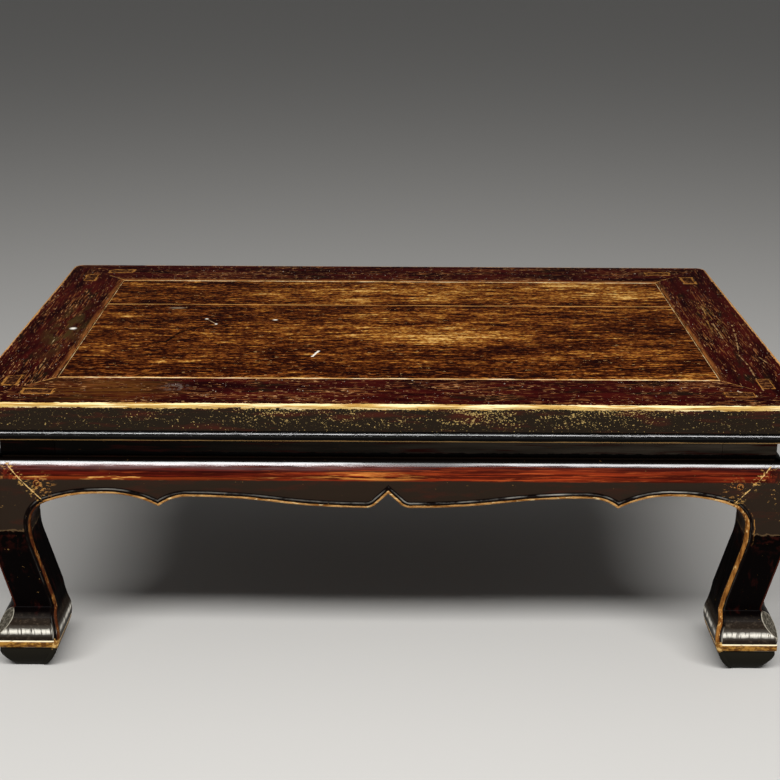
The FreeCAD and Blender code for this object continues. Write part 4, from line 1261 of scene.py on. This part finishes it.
def worn_leg(at, paint, gold, worn_line):
    """A leg's own wear: arris, knee, leaf-shaped facet, the hoof's band and corner, tenon ends on the top.

    The band, the tenons' ends and the leaf are given back as well, with how worn they are.
    """
    place, height = at.place, at.height
    from_arris = off(at.arris_gap, 0.0)
    thin_arris = both(
        ramped(ragged(from_arris, at.grain, (20.0, 6.0), 0.3), 0.9, 0.5),
        between(height, HOOF_TOP, HOOF_TOP + 8.0, 254.0, 258.0),
    )
    rubbed_knee = both(
        line_at(ragged(at.line_gap, place, 9.0, 1.6), 10.2, 0.6, 0.2),
        patches(place, 7.0, 0.46, 0.54),
        front_spot(place, *RUBBED_KNEE),
    )
    in_leaf = between(height, LEAF_FOOT_Z + 1.5, LEAF_FOOT_Z + 2.5, ANKLE[1] - 1.8, ANKLE[1] - 0.8)
    leaf = both(ramped(at.arris_gap, 0.0, -0.4), in_leaf)
    leaf_skin = laid_over("#3a362e", ("#6b655a", patches(place, (2.0, 2.0, 9.0), 0.46, 0.64)))
    leaf_edge = both(
        ramped(ragged(from_arris, place, 6.0, 0.3), 0.9, 0.5),
        between(height, LEAF_FOOT_Z - 4.5, LEAF_FOOT_Z + 1.5, ANKLE[1] - 3.3, ANKLE[1] - 1.3),
    )
    # A pale line along the groove beside the raised line on the hoof: painted highlight
    painted_groove_glint = both(
        line_at(at.line_gap, 7.4, 0.8, 0.4),
        between(height, BAND_TOP + 0.8, BAND_TOP + 4.8, HOOF_TOP - 18.0, HOOF_TOP - 10.0),
        at.broken,
    )
    band = between(height, BAND_FOOT, BAND_FOOT + 0.6, BAND_TOP - 0.6, BAND_TOP)
    band_tone = laid_over("#5d3a18", ("#a87a35", patches(place, (6.0, 6.0, 3.0), 0.42, 0.58)))
    bright = line_at(height, BAND_TOP - 0.6, 0.9, 0.5)
    bright = both(bright, patches(place, (20.0, 20.0, 9.0), 0.34, 0.44))
    dim = line_at(height, BAND_FOOT - 0.1, 0.7, 0.4)
    dim = both(dim, patches(place, (20.0, 20.0, 9.0), 0.42, 0.52))
    gold_corner = both(
        ramped(ragged(off(height, BAND_TOP - 3.2), place, 5.0, 3.0), 7.0, 5.5),
        ramped(ragged(at.line_gap, place, 5.0, 2.4), 8.0, 6.0),
    )
    corner_tone = laid_over("#7a5222", ("#cfa866", patches(place, 4.0, 0.44, 0.58)))
    tenon_end = ramped(height, HEIGHT - 0.4, HEIGHT - 0.1)
    end_grain = laid_over("#2a1209", ("#6e4524", patches(place, 4.0, 0.50, 0.62)))
    tenon_rim = ramped(ragged(at.line_gap, place, 9.0, 0.9), 1.2, 0.5)
    paint = laid_over(
        paint,
        ("#1c1a15", ramped(height, BAND_FOOT - 0.2, BAND_FOOT - 0.8)),
        ("#3f170b", thin_arris),
        ("#946834", rubbed_knee),
        (leaf_skin, leaf),
        ("#9a9384", leaf_edge),
        ("#8a857b", painted_groove_glint),
        (band_tone, band),
        ("#efe0bb", bright),
        ("#8a8172", dim),
        (gold, both(worn_line, ramped(height, BAND_FOOT - 1.4, BAND_FOOT - 0.6))),
        (corner_tone, gold_corner),
        (waist_colours(place, place), ramped(height, POST_FOOT, POST_FOOT + 0.6)),
        (end_grain, tenon_end),
        ("#a06a30", both(tenon_end, tenon_rim, at.broken)),
    )
    return paint, ((band, 0.6), (tenon_end, 1.0), (leaf, 0.5))


def body_lacquer(name, is_leg):
    """Dark lacquer over red-brown wood on aprons and legs, polished by hands and worn gold along every edge.

    The eye gets: a red-brown shoulder under the waist whose glow is partly painted light, a dark face below
    it, a raised line worn to golden wood with a black hollow behind it that is painted shade and a grey line
    in it that is a painted highlight, gold at mitres, pegs and hoof, a black shank that is painted shade,
    and a painted highlight on the hoof drawn as scuffs. Chips, too fine to show, are drawn as coarse as they
    need to show.
    """
    material, place = new_finish(name, 0.016)
    at = body_measures(place)
    stained = patches(place, (60.0, 60.0, 14.0), 0.52, 0.70)
    face = laid_over("#271e17", ("#3a1c14", both(stained, 0.7)))
    shoulder, streaks, polish = shoulder_lacquer(at)
    # The shoulder's red-brown above this border is partly the lacquer's red and partly painted light
    red_and_painted_glow_zone = ramped(ragged(at.height, place, 40.0, 1.0), GLOW_FOOT, GLOW_FOOT + 1.4)
    red_and_painted_glow_zone = both(red_and_painted_glow_zone, ramped(at.inset, 28.0, 26.0))
    if is_leg:
        face, painted_highlight_scuffs = leg_face(at, face)
        red_and_painted_glow_zone = both(red_and_painted_glow_zone, ramped(at.mitre_gap, 26.0, 4.0))
        drum = between(at.height, BAND_TOP + 7.8, BAND_TOP + 12.8, HOOF_TOP - 14.0, HOOF_TOP - 4.0)
        polish = heaped((polish, 1.0), (drum, 0.1), (painted_highlight_scuffs, 0.3))

    gold, worn_line = worn_raised_line(at, is_leg)
    # The hollow behind the raised line is painted near-black: painted shade
    painted_shade_hollow = between(at.line_gap, 2.4, 3.2, 7.6, 8.6)
    # A grey line along the hollow beside the raised line: painted highlight
    painted_glint_line = both(
        line_at(at.line_gap, 6.1, 0.9, 0.4),
        patches(at.grain, (34.0, 12.0), 0.42, 0.66),
        0.2 if is_leg else heaped((ramped(at.along, -120.0, 160.0), 0.4), base=0.5),
    )
    mitre_line = both(
        ramped(ragged(at.mitre_gap, place, (6.0, 6.0, 4.0), 0.8), 0.6, 0.1),
        ramped(at.height, MITRE_TOP[1] - 0.5, MITRE_TOP[1] - 2.0),
        at.broken,
    )
    scattered, by_mitre, by_peg = body_chips(at, is_leg)
    paint = laid_over(
        face,
        (shoulder, red_and_painted_glow_zone),
        ("#0a0504", painted_shade_hollow),
        ("#8a867e", painted_glint_line),
        ("#a5743c", by_peg),
        ("#bd9250", by_mitre),
        ("#8a683a", scattered),
        (gold, worn_line),
        ("#c9a468", mitre_line),
    )
    worn = heaped(*((mask, 0.8) for mask in (worn_line, mitre_line, by_mitre, by_peg, scattered)))
    if is_leg:
        paint, leg_wear = worn_leg(at, paint, gold, worn_line)
        worn = heaped((worn, 1.0), *leg_wear)
    ripple = patches(at.grain, (90.0, 30.0, 12.0), 0.25, 0.75, detail=2.0)
    roughness = heaped((worn, 0.2), base=0.36)
    relief = heaped((worn, -0.12), (ripple, 0.25), (streaks, 0.01))
    gloss = add_node(place, "Clamp", {0: heaped((polish, 1.0), (worn, -0.9))})
    finish_with(material, paint, roughness, relief, gloss)
    return material


def underside_wood():
    """Bare wood under the top, planed and darkened by dust: brown, with darker fibres.

    The fibres, too fine to show, are drawn as coarse as they need to show.
    """
    material, place = new_finish("planed bare wood, battens", 0.3)
    fibres = patches(place, (4.0, 90.0, 4.0), 0.38, 0.66)
    stain = patches(place, (60.0, 90.0, 60.0), 0.45, 0.7)
    paint = laid_over("#4a3220", ("#2a1a11", fibres), ("#33221a", stain))
    finish_with(material, paint, heaped((fibres, 0.15), base=0.6), heaped((fibres, -0.1)))
    return material


def peg_lacquer():
    """Lacquered peg heads: the dark lacquer runs over them and is worn to a golden ring at the rim."""
    material, place = new_finish("worn lacquer on peg heads", 0.03)
    ring = ramped(ragged(kept(place, "line_gap"), place, 4.0, 0.5), 1.0, 0.5)
    blotches = patches(place, (4.0, 4.0, 2.0), 0.45, 0.65)
    chips = patches(place, (3.0, 3.0, 2.4), 0.58, 0.62, detail=5.0)
    paint = laid_over("#22100a", ("#4f1f10", blotches), ("#8a5228", ring), ("#b08446", chips))
    relief = heaped((ring, -0.1), (blotches, 0.05))
    finish_with(material, paint, heaped((ring, 0.3), base=0.28), relief)
    return material


def plain(name, code, roughness):
    """One even colour and roughness, for the floor."""
    material = bpy.data.materials.new(name)
    material.use_nodes = True
    shader = material.node_tree.nodes["Principled BSDF"]
    shader.inputs["Base Color"].default_value = colour(code)
    shader.inputs["Roughness"].default_value = roughness
    return material


def dress(piece, material, node):
    """Gives a piece its finish and its body, and hides the node that it stands for."""
    piece.data.materials.clear()
    piece.data.materials.append(material)
    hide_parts(node)
    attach(piece, "root")


def give(node, material):
    """A finish for a node whose own shape is right."""
    slots = frame["nodes"][node].data.materials
    slots.clear()
    slots.append(material)


def make_stage():
    """The plain pale floor."""
    bpy.ops.object.select_all(action="DESELECT")
    bpy.ops.mesh.primitive_plane_add(size=60)
    floor = bpy.context.object
    floor.name = "floor"
    floor.data.materials.append(plain("pale floor", "#c8c6c2", 0.6))


def make_lights():
    """A long softbox in front, above the camera, and a wide dim one overhead."""
    world = bpy.data.worlds.new("studio air")
    bpy.context.scene.world = world
    world.use_nodes = True
    air = world.node_tree.nodes["Background"]
    air.inputs["Color"].default_value = colour("#ffffff")
    air.inputs["Strength"].default_value = 0.12
    target = Vector((0.0, -DEPTH * MM / 2, LAMPS_AIM))
    for name, rise, distance, width, height, energy in LAMPS:
        lamp = bpy.data.lights.new(name, "AREA")
        lamp.shape = "RECTANGLE"
        lamp.size, lamp.size_y = width, height
        lamp.energy = energy
        holder = bpy.data.objects.new(name, lamp)
        bpy.context.scene.collection.objects.link(holder)
        way = Vector((0.0, -cos(radians(rise)), sin(radians(rise))))
        holder.location = target + way * distance
        holder.rotation_euler = (radians(90.0 - rise), 0.0, 0.0)


def make_camera():
    """The camera, at its fitted place."""
    camera = bpy.data.objects.new("camera", bpy.data.cameras.new("camera"))
    bpy.context.scene.collection.objects.link(camera)
    camera.data.sensor_width = SENSOR
    camera.data.lens = CAMERA_LENS
    tilt = Matrix.Rotation(radians(90.0 - CAMERA_PITCH), 4, "X")
    roll = Matrix.Rotation(radians(CAMERA_ROLL), 4, "Z")
    camera.matrix_world = Matrix.Translation(CAMERA_PLACE) @ tilt @ roll
    bpy.context.scene.camera = camera


def main():
    """Dresses every piece, and sets the floor, the lamps and the camera."""
    bpy.context.scene.view_settings.view_transform = "Standard"
    finishes = {
        "leg": body_lacquer("dark lacquer over red-brown wood, legs", True),
        "apron": body_lacquer("dark lacquer over red-brown wood, aprons", False),
        "front": rail_lacquer("worn red lacquer, front rail", "front"),
        "back": rail_lacquer("worn red lacquer, back rail", "back"),
        "end": rail_lacquer("worn red lacquer, end rails", "end"),
        "panel": panel_lacquer(),
        "waist": waist_lacquer("black lacquer, long waist boards", (0, 1, 2)),
        "end_waist": waist_lacquer("black lacquer, end waist boards", (1, 0, 2)),
        "batten": underside_wood(),
        "peg": peg_lacquer(),
    }
    for corner in CORNERS:
        dress(leg(corner), finishes["leg"], f"leg_{corner}")
    for side in SIDE_TURNS:
        dress(apron(side), finishes["apron"], f"apron_{side}")
        is_long = side in LONG_SIDES
        node = f"top_rail_{side}" if is_long else f"top_end_rail_{side}"
        dress(rail(node, side), finishes[side if is_long else "end"], node)
        give(f"waist_board_{side}", finishes["waist" if is_long else "end_waist"])
    for place in ("front", "back"):
        give(f"panel_board_{place}", finishes["panel"])
    for place in ("left", "centre", "right"):
        give(f"panel_batten_{place}", finishes["batten"])
    dress(pegs(), finishes["peg"], "apron_pegs")
    make_stage()
    make_lights()
    make_camera()


main()
